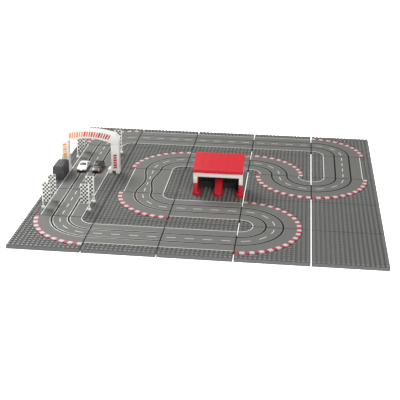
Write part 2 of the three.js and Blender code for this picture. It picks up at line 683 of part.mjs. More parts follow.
function carChassis() {
  const half = CHASSIS_WIDTH / 2;
  const podMiddle = FRONT_AXLE + WHEELBASE / 2;
  const solid = join(
    block([-half, -CAR_NOSE + SHELL + FIT, CHASSIS_CLEARANCE], [half, tail - SHELL - FIT, chassisTop]),
    block([-POD_WIDTH / 2, podMiddle - POD_LENGTH / 2, CHASSIS_CLEARANCE],
      [POD_WIDTH / 2, podMiddle + POD_LENGTH / 2, chassisTop]),
    ...axleBearings(FRONT_AXLE, frontAxleHeight),
    ...axleBearings(rearAxle, rearAxleHeight));
  const bore = boreFor(AXLE_RADIUS, SHAFT_SIDES);
  const well = CROWN_RADIUS + FIT;
  return cut(solid,
    acrossX(bore, -half - BEYOND, half + BEYOND, FRONT_AXLE, frontAxleHeight),
    acrossX(bore, -half - BEYOND, half + BEYOND, rearAxle, rearAxleHeight),
    upright(boreFor(GUIDE_PIN_RADIUS, PIN_SIDES), -BEYOND, chassisTop + BEYOND),
    block([-MOTOR[0] / 2 - FIT, motorFront - FIT, -BEYOND],
      [MOTOR[0] / 2 + FIT, motorBack + FIT, chassisTop + BEYOND]),
    block([-PINION_RADIUS - FIT, rearAxle - well, -BEYOND],
      [crownLeft + CROWN_THICKNESS + FIT, rearAxle + well, chassisTop + BEYOND]));
}

function wheelSet([radius, width], y, height, extra = []) {
  const outer = CAR_WIDTH / 2 - WHEEL_INSET;
  return join(
    acrossX(AXLE_RADIUS, -outer + width / 2, outer - width / 2, y, height),
    acrossX(radius, outer - width, outer, y, height, WHEEL_SIDES),
    acrossX(radius, -outer, -outer + width, y, height, WHEEL_SIDES),
    ...extra);
}

function crownGear() {
  return acrossX(CROWN_RADIUS, crownLeft, crownLeft + CROWN_THICKNESS, rearAxle, rearAxleHeight, WHEEL_SIDES);
}

// The motor's can lies along the car, with a bore for the armature's shaft.
function motorCan() {
  const [width, , height] = MOTOR;
  const flats = block([-width / 2, motorFront, rearAxleHeight - height / 2],
    [width / 2, motorBack, rearAxleHeight + height / 2]);
  const bore = alongY(
    boreFor(MOTOR_SHAFT_RADIUS, PIN_SIDES), motorFront - BEYOND, motorBack + BEYOND, rearAxleHeight);
  const can = alongY(width / 2, motorFront, motorBack, rearAxleHeight, WHEEL_SIDES);
  return cut(solidOf(can).intersect(solidOf(flats)), bore);
}

function motorArmature() {
  const [front, back] = SHAFT_ENDS;
  return join(
    alongY(MOTOR_SHAFT_RADIUS, motorFront - front, pinionBack - back, rearAxleHeight),
    alongY(PINION_RADIUS, pinionFront, pinionBack, rearAxleHeight));
}

function carGuide() {
  const [width, length] = GUIDE_BLADE;
  const [flange, thickness] = GUIDE_FLANGE;
  const under = CHASSIS_CLEARANCE - 2 * RUNNING;
  const middle = under - thickness / 2;
  return join(
    block([-width / 2, -length / 2, GUIDE_FLOAT - SLOT_DEPTH], [width / 2, length / 2, middle]),
    upright(flange, under - thickness, under),
    upright(GUIDE_PIN_RADIUS, middle, chassisTop + GUIDE_PIN_ABOVE));
}

function car(label, lane, finish) {
  const group = new THREE.Group();
  const named = (part, solid, look) => group.add(piece(`${label}_${part}`, solid, look));
  named('body', carBody(), finish);
  named('glazing', carGlazing(), 'glass');
  named('chassis', carChassis(), 'chassis');
  named('motor_can', motorCan(), 'steel');
  named('motor_armature', motorArmature(), 'steel');
  named('front_axle_and_wheels', wheelSet(FRONT_WHEEL, FRONT_AXLE, frontAxleHeight), 'tyre');
  named('rear_axle_and_wheels', wheelSet(REAR_WHEEL, rearAxle, rearAxleHeight, [crownGear()]), 'tyre');
  named('guide', carGuide(), 'guide');
  const [x, y] = tileCorner(START_ROW, START_COLUMN);
  group.position.set(x + HALF_TILE + lane, y + CAR_PIVOT_STUDS * STUD_PITCH, TRACK_TOP);
  return group;
}

// ---------------------------------------------------------------- the whole set
const set = new THREE.Group();
const { group: circuit, used } = trackTiles();
set.add(circuit, plainTiles(used), startArch(), banners(), powerTerminal(), pitBuilding());
set.add(car('white_car', -LANE_OFFSET, 'whiteCar'));
set.add(car('dark_car', LANE_OFFSET, 'darkCar'));

export default set;
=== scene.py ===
"""Looks of the slot car track set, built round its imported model.

Lengths are metres, in the model's own frame: +X is right, +Y is towards the back, +Z is up, and the
origin is the middle of the table of tiles, on the surface that it stands on. Sizes of small details
are written in millimetres times MM.
"""
import json
import logging
import math
from collections.abc import Callable, Iterable
from dataclasses import dataclass, field
from enum import Enum

import bmesh
import bpy
from mathutils import Matrix, Vector


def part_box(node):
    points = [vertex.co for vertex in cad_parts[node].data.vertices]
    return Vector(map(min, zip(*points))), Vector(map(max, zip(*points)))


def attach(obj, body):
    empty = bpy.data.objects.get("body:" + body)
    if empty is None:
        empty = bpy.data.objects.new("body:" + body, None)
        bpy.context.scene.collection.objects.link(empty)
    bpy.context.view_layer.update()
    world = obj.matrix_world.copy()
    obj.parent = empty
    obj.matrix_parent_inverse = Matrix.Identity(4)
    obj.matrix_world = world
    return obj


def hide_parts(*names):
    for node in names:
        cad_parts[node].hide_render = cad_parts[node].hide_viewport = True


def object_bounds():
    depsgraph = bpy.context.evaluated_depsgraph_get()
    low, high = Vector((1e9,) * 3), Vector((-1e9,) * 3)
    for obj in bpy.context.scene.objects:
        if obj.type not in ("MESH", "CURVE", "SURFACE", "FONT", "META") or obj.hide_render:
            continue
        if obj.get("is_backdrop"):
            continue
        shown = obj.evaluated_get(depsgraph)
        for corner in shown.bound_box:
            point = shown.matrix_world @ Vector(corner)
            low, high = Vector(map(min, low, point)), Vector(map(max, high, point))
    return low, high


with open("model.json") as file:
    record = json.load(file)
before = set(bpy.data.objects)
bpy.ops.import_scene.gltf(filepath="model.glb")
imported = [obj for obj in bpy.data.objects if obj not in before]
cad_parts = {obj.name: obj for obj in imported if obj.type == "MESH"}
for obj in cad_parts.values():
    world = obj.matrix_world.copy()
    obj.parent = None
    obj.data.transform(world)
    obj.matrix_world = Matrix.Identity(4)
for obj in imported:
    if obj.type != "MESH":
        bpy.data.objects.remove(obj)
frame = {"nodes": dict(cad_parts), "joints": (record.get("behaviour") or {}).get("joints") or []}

LOG = logging.getLogger("track_set")
MM = 0.001
CAD_LOW, CAD_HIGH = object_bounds()
TRACK_BODY = "track_set"
Colour = tuple[float, float, float]
Point = tuple[float, float]


# ---------------------------------------------------------------- materials
class Value:
    """A number that a material works out, held as the socket that gives it."""

    def __init__(self, recipe: "Recipe", socket: bpy.types.NodeSocket) -> None:
        """Keeps the recipe that the socket belongs to, and the socket."""
        self.recipe = recipe
        self.socket = socket

    def math(self, operation: str, other: "Value | float") -> "Value":
        """Adds a Math node that works on this number and another."""
        return self.recipe.node("ShaderNodeMath", {"operation": operation}, {0: self, 1: other})

    def __add__(self, other: "Value | float") -> "Value":
        """Returns self + other."""
        return self.math("ADD", other)

    __radd__ = __add__

    def __mul__(self, other: "Value | float") -> "Value":
        """Returns self * other."""
        return self.math("MULTIPLY", other)

    __rmul__ = __mul__


class Recipe:
    """A material under construction: one Principled shader and the nodes that feed it."""

    def __init__(self, name: str) -> None:
        """Starts an empty material of the given name."""
        self.material = bpy.data.materials.new(name)
        self.material.use_nodes = True
        self.tree = self.material.node_tree
        self.tree.nodes.clear()
        self.shader = self.tree.nodes.new("ShaderNodeBsdfPrincipled")
        output = self.tree.nodes.new("ShaderNodeOutputMaterial")
        self.tree.links.new(self.shader.outputs[0], output.inputs[0])
        self.place = self.node("ShaderNodeTexCoord", output="Object")

    def node(
        self,
        kind: str,
        settings: dict[str, object] | None = None,
        sockets: dict[int | str, object] | None = None,
        output: int | str = 0,
    ) -> Value:
        """Adds any node.

        Args:
            kind: the node's type.
            settings: its properties, set first.
            sockets: values or links of its inputs, by name or number.
            output: the output that is returned.

        Returns:
            The chosen output.
        """
        made = self.tree.nodes.new(kind)
        for key, value in (settings or {}).items():
            setattr(made, key, value)
        for key, value in (sockets or {}).items():
            self.feed(made.inputs[key], value)
        return Value(self, made.outputs[output])

    def feed(self, socket: bpy.types.NodeSocket, value: object) -> None:
        """Links a socket to a Value, or sets it to a constant."""
        if isinstance(value, Value):
            self.tree.links.new(value.socket, socket)
        else:
            socket.default_value = value

    def surface(self, **sockets: object) -> None:
        """Sets or links the shader's sockets; Base_Color stands for Base Color."""
        for key, value in sockets.items():
            self.feed(self.shader.inputs[key.replace("_", " ")], value)

    def noise(self, scale: float, detail: float = 3.0) -> Value:
        """Returns a cloudy pattern on the piece, between 0 and 1, with scale patches to the metre."""
        return self.node("ShaderNodeTexNoise", {}, {"Vector": self.place, "Scale": scale, "Detail": detail})

    def blend(self, share: "Value | float", first: object, second: object) -> Value:
        """Returns a colour between two: first where share is 0 and second where it is 1."""
        ends = [(*c, 1.0) if isinstance(c, tuple) else c for c in (first, second)]
        return self.node(
            "ShaderNodeMix", {"data_type": "RGBA"}, {0: share, 6: ends[0], 7: ends[1]}, 2)

    def bump(self, height: Value, depth: float) -> Value:
        """Returns a normal bent by a height between 0 and 1 that stands for depth in metres."""
        return self.node(
            "ShaderNodeBump", {}, {"Height": height, "Distance": depth, "Strength": 1.0}, "Normal")


def shade(colour: Colour, factor: float) -> Colour:
    """Returns a colour made lighter or darker by a factor."""
    return tuple(min(1.0, channel * factor) for channel in colour)


@dataclass(frozen=True)
class Plastic:
    """Moulded plastic: a mottled colour, uneven gloss and the fine skin of the mould."""

    name: str
    colour: Colour
    roughness: float = 0.4
    coat: float = 0.0
    mottling: float = 0.08
    patches: float = 45.0
    grain: float = 2500.0
    grain_depth: float = 0.02 * MM
    metallic: float = 0.0

    def make(self) -> bpy.types.Material:
        """Returns the material."""
        recipe = Recipe(self.name)
        cloud = recipe.noise(self.patches)
        grain = recipe.noise(self.grain, 2.0)
        dark, light = shade(self.colour, 1 - self.mottling), shade(self.colour, 1 + self.mottling)
        recipe.surface(
            Base_Color=recipe.blend(cloud, dark, light),
            Roughness=cloud * 0.12 + grain * 0.08 + (self.roughness - 0.1),
            Metallic=self.metallic,
            Coat_Weight=self.coat,
            Normal=recipe.bump(grain, self.grain_depth))
        return recipe.material


@dataclass(frozen=True)
class Asphalt:
    """The printed and textured running surface of the track."""

    name: str
    colour: Colour
    speckle: float = 0.3
    rubber: float = 0.12

    def make(self) -> bpy.types.Material:
        """Returns the material."""
        recipe = Recipe(self.name)
        fine = recipe.noise(1400.0, 4.0)
        broad = recipe.noise(18.0)
        grit = recipe.blend(fine, shade(self.colour, 1 - self.speckle), shade(self.colour, 1 + self.speckle))
        worn = recipe.blend(broad * self.rubber, grit, shade(self.colour, 0.35))
        recipe.surface(
            Base_Color=worn,
            Roughness=fine * 0.2 + 0.55,
            Normal=recipe.bump(fine, 0.08 * MM))
        return recipe.material


@dataclass(frozen=True)
class Metal:
    """Drawn or plated metal with fine scratches."""

    name: str
    colour: Colour
    roughness: float = 0.28

    def make(self) -> bpy.types.Material:
        """Returns the material."""
        recipe = Recipe(self.name)
        cloud = recipe.noise(120.0)
        scratches = recipe.noise(5000.0, 2.0)
        recipe.surface(
            Base_Color=recipe.blend(cloud, shade(self.colour, 0.85), self.colour),
            Roughness=cloud * 0.15 + scratches * 0.1 + (self.roughness - 0.1),
            Metallic=1.0,
            Normal=recipe.bump(scratches, 0.01 * MM))
        return recipe.material


class Finish(Enum):
    """Every finish on the set."""

    # The deck plastic and the stud plastic are one plastic in two tones: the deck is darkened as painted
    # shade between the studs, and the studs are lightened as a painted highlight.
    DECK = Plastic("deck_plastic", (0.068, 0.07, 0.064), 0.5, mottling=0.12)
    STUD = Plastic("stud_plastic_painted_highlight", (0.19, 0.19, 0.172), 0.38, 0.1, mottling=0.1)
    TRACK = Asphalt("track_asphalt", (0.135, 0.137, 0.126))
    # The slot's black is painted shade of the groove.
    SLOT = Plastic("slot_painted_shade", (0.02, 0.02, 0.02), 0.7)
    RAIL = Metal("rail_steel", (0.5, 0.49, 0.46), 0.4)
    LINE = Plastic("line_white", (0.86, 0.85, 0.82), 0.45)
    KERB_RED = Plastic("kerb_red", (0.38, 0.04, 0.06), 0.4)
    KERB_WHITE = Plastic("kerb_white", (0.6, 0.53, 0.51), 0.4)
    WHITE = Plastic("white_plastic", (0.6, 0.57, 0.52), 0.38, 0.15, 0.03)
    RED = Plastic("red_plastic", (0.46, 0.014, 0.009), 0.42, 0.05, 0.07)
    DARK_WALL = Plastic("wall_plastic", (0.028, 0.036, 0.033), 0.45)
    TERMINAL = Plastic("terminal_plastic", (0.095, 0.093, 0.082), 0.5, mottling=0.2, grain_depth=0.08 * MM)
    BLACK = Plastic("black_plastic", (0.012, 0.012, 0.013), 0.35)
    ORANGE = Plastic("print_orange", (0.85, 0.24, 0.03), 0.35)
    SCARLET = Plastic("print_scarlet", (0.72, 0.05, 0.03), 0.35)
    CRIMSON = Plastic("print_crimson", (0.5, 0.01, 0.03), 0.35)
    YELLOW = Plastic("print_yellow", (0.85, 0.5, 0.05), 0.35)
    WHITE_PAINT = Plastic("white_paint", (0.84, 0.84, 0.83), 0.2, 0.8, 0.02, grain_depth=0.004 * MM)
    CHARCOAL_PAINT = Plastic("charcoal_paint", (0.017, 0.012, 0.012), 0.5, 0.0, 0.1, grain_depth=0.004 * MM)
    MAROON_PAINT = Plastic("maroon_paint", (0.13, 0.008, 0.014), 0.35, 0.3)
    SMOKE_PAINT = Plastic("smoke_paint", (0.05, 0.025, 0.025), 0.5, 0.0)
    SILVER_PAINT = Plastic("silver_paint", (0.5, 0.48, 0.45), 0.3, 0.5, metallic=0.5)
    GLAZING = Plastic("tinted_glazing", (0.008, 0.016, 0.013), 0.12, 1.0, 0.1, grain_depth=0.002 * MM)
    CHASSIS = Plastic("chassis_plastic", (0.016, 0.016, 0.017), 0.5, grain_depth=0.05 * MM)
    STEEL = Metal("motor_steel", (0.6, 0.6, 0.61))
    COPPER = Metal("braid_copper", (0.72, 0.32, 0.17), 0.4)
    TYRE = Plastic("tyre_rubber", (0.014, 0.014, 0.014), 0.75, grain_depth=0.05 * MM)
    LAMP = Plastic("lamp_lens", (0.9, 0.85, 0.65), 0.12, 1.0)

    def material(self) -> bpy.types.Material:
        """Returns this finish's material, made the first time that it is asked for."""
        return bpy.data.materials.get(self.value.name) or self.value.make()


# ---------------------------------------------------------------- shapes
def mm(*sizes: float) -> tuple[float, ...]:
    """Returns sizes given in millimetres as metres."""
    return tuple(size * MM for size in sizes)


def arc(centre: Point, radius: float, start: float, end: float, steps: int) -> list[Point]:
    """Returns points along an arc, from one angle to another, in degrees."""
    turns = [math.radians(start + (end - start) * i / steps) for i in range(steps + 1)]
    return [(centre[0] + radius * math.cos(a), centre[1] + radius * math.sin(a)) for a in turns]


@dataclass
class Shape:
    """One piece under construction: a mesh and the finishes that its faces take."""

    finishes: list[Finish]
    bm: bmesh.types.BMesh = field(default_factory=bmesh.new)

    def slot(self, finish: Finish) -> int:
        """Returns the number of a finish on this piece, adding it if it is new."""
        if finish not in self.finishes:
            self.finishes.append(finish)
        return self.finishes.index(finish)

    def paint(self, faces: Iterable[bmesh.types.BMFace], finish: Finish | None) -> None:
        """Gives faces a finish."""
        if finish is not None:
            number = self.slot(finish)
            for face in faces:
                face.material_index = number

    def added(self, before: set[bmesh.types.BMFace]) -> list[bmesh.types.BMFace]:
        """Returns the faces that were not there before."""
        return [f for f in self.bm.faces if f not in before]

    def close(self, before: set[bmesh.types.BMFace], finish: Finish | None) -> list[bmesh.types.BMVert]:
        """Gives the new faces their finish, and returns their vertices."""
        faces = self.added(before)
        self.paint(faces, finish)
        return list({v for f in faces for v in f.verts})

    def face_out(self) -> None:
        """Turns every face outwards."""
        bmesh.ops.recalc_face_normals(self.bm, faces=list(self.bm.faces))

    def soften(self, edges: Iterable[bmesh.types.BMEdge], width: float, segments: int = 2) -> None:
        """Rounds edges over."""
        if width > 0:
            bmesh.ops.bevel(
                self.bm, geom=list(edges), offset=width, segments=segments, profile=0.5,
                affect="EDGES", material=-1, clamp_overlap=True)

    def box(
        self, low: Iterable[float], high: Iterable[float], soft: float = 0.0, finish: Finish | None = None,
    ) -> list[bmesh.types.BMVert]:
        """Adds a block between two corners, with rounded edges."""
        low, high = Vector(low), Vector(high)
        place = Matrix.LocRotScale((low + high) / 2, None, high - low)
        before = set(self.bm.faces)
        made = bmesh.ops.create_cube(self.bm, size=1.0, matrix=place)["verts"]
        self.soften({e for v in made for e in v.link_edges}, soft)
        return self.close(before, finish)

    def prism(
        self, outline: list[Point], axis: str, low: float, high: float,
        soft: float = 0.0, finish: Finish | None = None, segments: int = 2,
    ) -> list[bmesh.types.BMVert]:
        """Adds an outline carried along an axis, with its two rims rounded.

        Args:
            outline: points in the two other axes, in alphabetical order.
            axis: X, Y or Z.
            low: where it starts on the axis.
            high: where it ends.
            soft: radius of the rounded rims.
            finish: what it is made of.
            segments: facets of a rounded rim.

        Returns:
            Its vertices.
        """
        number = "XYZ".index(axis)
        before = set(self.bm.faces)
        corners = [Vector([*p[:number], low, *p[number:]]) for p in outline]
        base = self.bm.faces.new([self.bm.verts.new(c) for c in corners])
        side = bmesh.ops.extrude_face_region(self.bm, geom=[base])["geom"]
        lifted = [v for v in side if isinstance(v, bmesh.types.BMVert)]
        shift = Vector((0, 0, 0))
        shift[number] = high - low
        bmesh.ops.translate(self.bm, vec=shift, verts=lifted)
        faces = self.added(before)
        bmesh.ops.recalc_face_normals(self.bm, faces=faces)
        rims = [e for e in {e for f in faces for e in f.edges}
                if abs(e.verts[0].co[number] - e.verts[1].co[number]) < 1e-7]
        self.soften(rims, soft, segments)
        return self.close(before, finish)

    def rod(
        self, start: Iterable[float], end: Iterable[float], radius: float, sides: int = 24,
        soft: float = 0.0, finish: Finish | None = None, tip: float | None = None,
    ) -> list[bmesh.types.BMVert]:
        """Adds a round bar between two points, or a cone where tip gives its far radius."""
        start, end = Vector(start), Vector(end)
        place = Matrix.LocRotScale((start + end) / 2, (end - start).to_track_quat("Z", "Y"), None)
        before = set(self.bm.faces)
        made = bmesh.ops.create_cone(
            self.bm, cap_ends=True, segments=sides, radius1=radius,
            radius2=radius if tip is None else tip, depth=(end - start).length, matrix=place)["verts"]
        rims = [e for e in {e for v in made for e in v.link_edges}
                if any(len(f.verts) == sides for f in e.link_faces)]
        self.soften(rims, soft)
        return self.close(before, finish)

    def ball(self, centre: Iterable[float], radius: float, finish: Finish | None = None) -> None:
        """Adds a small sphere."""
        made = bmesh.ops.create_uvsphere(
            self.bm, u_segments=16, v_segments=8, radius=radius, matrix=Matrix.Translation(Vector(centre)))
        self.paint({f for v in made["verts"] for f in v.link_faces}, finish)

    def lathe(
        self, profile: list[Point], centre: Iterable[float], axis: str, steps: int = 32,
        finish: Finish | None = None,
    ) -> None:
        """Adds a body of revolution.

        Args:
            profile: places along the axis and distances from it; it ends on the axis or closes.
            centre: where the axis passes and the places count from.
            axis: X, Y or Z.
            steps: facets of a full turn.
            finish: what it is made of.
        """
        centre = Vector(centre)
        number = "XYZ".index(axis)
        along, out = Vector((0, 0, 0)), Vector((0, 0, 0))
        along[number] = 1.0
        out[(number + 1) % 3] = 1.0
        before = set(self.bm.faces)
        verts = [self.bm.verts.new(centre + along * a + out * r) for a, r in profile]
        edges = [self.bm.edges.new(pair) for pair in zip(verts, verts[1:])]
        bmesh.ops.spin(
            self.bm, geom=verts + edges, cent=centre, axis=along, angle=math.tau, steps=steps,
            use_merge=True)
        faces = self.added(before)
        near = list({v for f in faces for v in f.verts})
        bmesh.ops.remove_doubles(self.bm, verts=near, dist=1e-6)
        faces = self.added(before)
        bmesh.ops.recalc_face_normals(self.bm, faces=faces)
        self.paint(faces, finish)

    def cut(self, place: Vector, normal: Vector, keep_all: bool = True) -> None:
        """Cuts the whole mesh by a plane, and drops what is beyond it unless all is kept."""
        geometry = [*self.bm.verts, *self.bm.edges, *self.bm.faces]
        bmesh.ops.bisect_plane(
            self.bm, geom=geometry, dist=1e-7, plane_co=place, plane_no=normal, clear_outer=not keep_all)

    def finish(
        self, name: str, body: str, slot: str, replaces: Iterable[str] = (), smooth: float = 35.0,
        modifiers: Callable[[bpy.types.Object], None] | None = None,
    ) -> bpy.types.Object:
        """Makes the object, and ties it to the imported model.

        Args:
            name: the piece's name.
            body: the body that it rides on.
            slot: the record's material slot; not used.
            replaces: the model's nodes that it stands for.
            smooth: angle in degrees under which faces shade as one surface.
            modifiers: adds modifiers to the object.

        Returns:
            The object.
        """
        mesh = bpy.data.meshes.new(name)
        self.bm.to_mesh(mesh)
        self.bm.free()
        for finish in self.finishes:
            mesh.materials.append(finish.material())
        mesh.shade_smooth()
        mesh.set_sharp_from_angle(angle=math.radians(smooth))
        made = bpy.data.objects.new(name, mesh)
        bpy.context.scene.collection.objects.link(made)
        if modifiers:
            modifiers(made)
        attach(made, body)
        if replaces:
            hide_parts(*replaces)
        LOG.info("%s: %d faces", name, len(mesh.polygons))
        return made


# ---------------------------------------------------------------- the table of tiles
STUD_PITCH = 8 * MM
STUD_RADIUS = 2.45 * MM
STUD_HEIGHT = 1.8 * MM
STUD_SUNK = 0.4 * MM
TILE_STUDS = 16
TILE = STUD_PITCH * TILE_STUDS
HALF = TILE / 2
DECK_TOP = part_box("plain_tile_1")[1].z
TRACK_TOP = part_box("start_tile")[1].z
TABLE_LOW = CAD_LOW.xy
PITCH = (CAD_HIGH.x - CAD_LOW.x - TILE) / 4


class Kind(Enum):
    """The kinds of tile, with how far each turns the track, in quarter turns to the left."""

    STRAIGHT = ("straight_tile", 0)
    SQUEEZE = ("squeeze_tile", 0)
    RIGHT = ("curve_tile", -1)
    LEFT = ("curve_tile", 1)
    PLAIN = ("plain_tile", 0)

    @property
    def turn(self) -> int:
        """Returns the quarter turns to the left."""
        return self.value[1]


@dataclass(frozen=True)
class Spot:
    """Where a tile lies: its node, its kind, its centre and its quarter turns to the left."""

    node: str
    kind: Kind
    row: int
    column: int
    heading: int

    @property
    def centre(self) -> Vector:
        """Returns the tile's centre on the table."""
        return Vector((
            TABLE_LOW.x + self.column * PITCH + HALF, TABLE_LOW.y + self.row * PITCH + HALF, 0.0))

    @property
    def place(self) -> Matrix:
        """Returns the matrix from the tile's own frame to the table's."""
        return Matrix.Translation(self.centre) @ Matrix.Rotation(math.radians(90 * self.heading), 4, "Z")


def circuit() -> list[Spot]:
    """Returns every tile of the table, the track's in driving order and then the plain ones."""
    letters = {"S": Kind.STRAIGHT, "Q": Kind.SQUEEZE, "R": Kind.RIGHT, "L": Kind.LEFT}
    route = "SSRSSSRSRRLSLQLSRRSSRS"
    spots, counts, used = [], {}, set()
    row, column, heading = 2, 0, 0
    for index, letter in enumerate(route):
        kind = letters[letter]
        stem = kind.value[0]
        if index == 0:
            name = "start_tile"
        elif kind is Kind.SQUEEZE:
            name = stem
        else:
            counts[stem] = counts.get(stem, 0) + 1
            name = f"{stem}_{counts[stem]}"
        spots.append(Spot(name, kind, row, column, heading))
        used.add((row, column))
        heading += kind.turn
        column -= round(math.sin(math.radians(90 * heading)))
        row += round(math.cos(math.radians(90 * heading)))
    free = [(r, c) for r in range(5) for c in range(5) if (r, c) not in used]
    plain = [Spot(f"plain_tile_{i + 1}", Kind.PLAIN, r, c, 0) for i, (r, c) in enumerate(free)]
    return spots + plain


@dataclass(frozen=True)
class Strip:
    """One strip of a tile's cross-section: its far end and what it is made of."""

    across: float
    height: float
    finish: Finish


@dataclass
class Track:
    """The cross-section of the track on its tile, and how it is marked."""

    half: float = 40 * MM
    lane: float = 15.5 * MM
    squeezed: float = 7 * MM
    slot: float = 1.6 * MM
    slot_depth: float = 3.3 * MM
    rail: Point = (1.9 * MM, 3.1 * MM)
    rail_rise: float = 0.08 * MM
    line: Point = (0.35 * MM, 1.65 * MM)
    dash: float = 1.2 * MM
    chamfer: float = 0.3 * MM
    kerb: float = 8 * MM
    floor: float = 3.2 * MM
    curve_steps: int = 60
    straight_steps: int = 32
    dashes: Point = (4, 3)
    kerb_blocks: int = 20

    def half_section(self, kerbed: bool, lined: bool, edge: float) -> list[Strip]:
        """Returns the strips from the centre line to one edge of the tile.

        Args:
            kerbed: whether a kerb runs along this edge of the track.
            lined: whether a white line does.
            edge: distance from the centre line to the edge of the tile.
        """
        top, road = TRACK_TOP, Finish.TRACK
        near, far = self.rail
        strips = [Strip(self.dash / 2, top, Finish.LINE)]
        for side, (first, last) in ((-1, (far, near)), (1, (near, far))):
            raised = top + self.rail_rise
            start, end = self.lane + side * first, self.lane + side * last
            if side > 0:
                # The slot's walls and floor and the flat strips between it and the rails are painted black:
                # painted shade of the groove, widened onto the surface beside it.
                slot_end = self.lane + self.slot / 2
                strips += [
                    Strip(self.lane - self.slot / 2, top, Finish.SLOT),
                    Strip(self.lane - self.slot / 2, top - self.slot_depth, Finish.SLOT),
                    Strip(slot_end, top - self.slot_depth, Finish.SLOT),
                    Strip(slot_end, top, Finish.SLOT)]
            strips += [
                Strip(start, top, road if side < 0 else Finish.SLOT), Strip(start, raised, Finish.RAIL),
                Strip(end, raised, Finish.RAIL), Strip(end, top, Finish.RAIL)]
        if lined:
            strips += [
                Strip(self.half - self.line[1], top, road), Strip(self.half - self.line[0], top, Finish.LINE)]
        outer = self.half
        if kerbed:
            strips.append(Strip(self.half, top, road))
            outer += self.kerb
        side_finish = Finish.KERB_WHITE if kerbed else road
        strips += [
            Strip(outer - self.chamfer, top, side_finish), Strip(outer, top - self.chamfer, side_finish),
            Strip(outer, DECK_TOP, side_finish), Strip(edge, DECK_TOP, Finish.DECK),
            Strip(edge, self.floor, Finish.DECK)]
        return strips

    def lane_shift(self, along: float) -> float:
        """Returns how far each lane moves towards the centre line on the squeeze tile."""
        wave = (1 + math.cos(math.tau * along / TILE)) / 2
        return (self.lane - self.squeezed) * wave

    def in_lane(self, across: float) -> bool:
        """Says whether a place across the track belongs to a slot and its rails."""
        return abs(abs(across) - self.lane) < self.rail[1] + 0.1 * MM


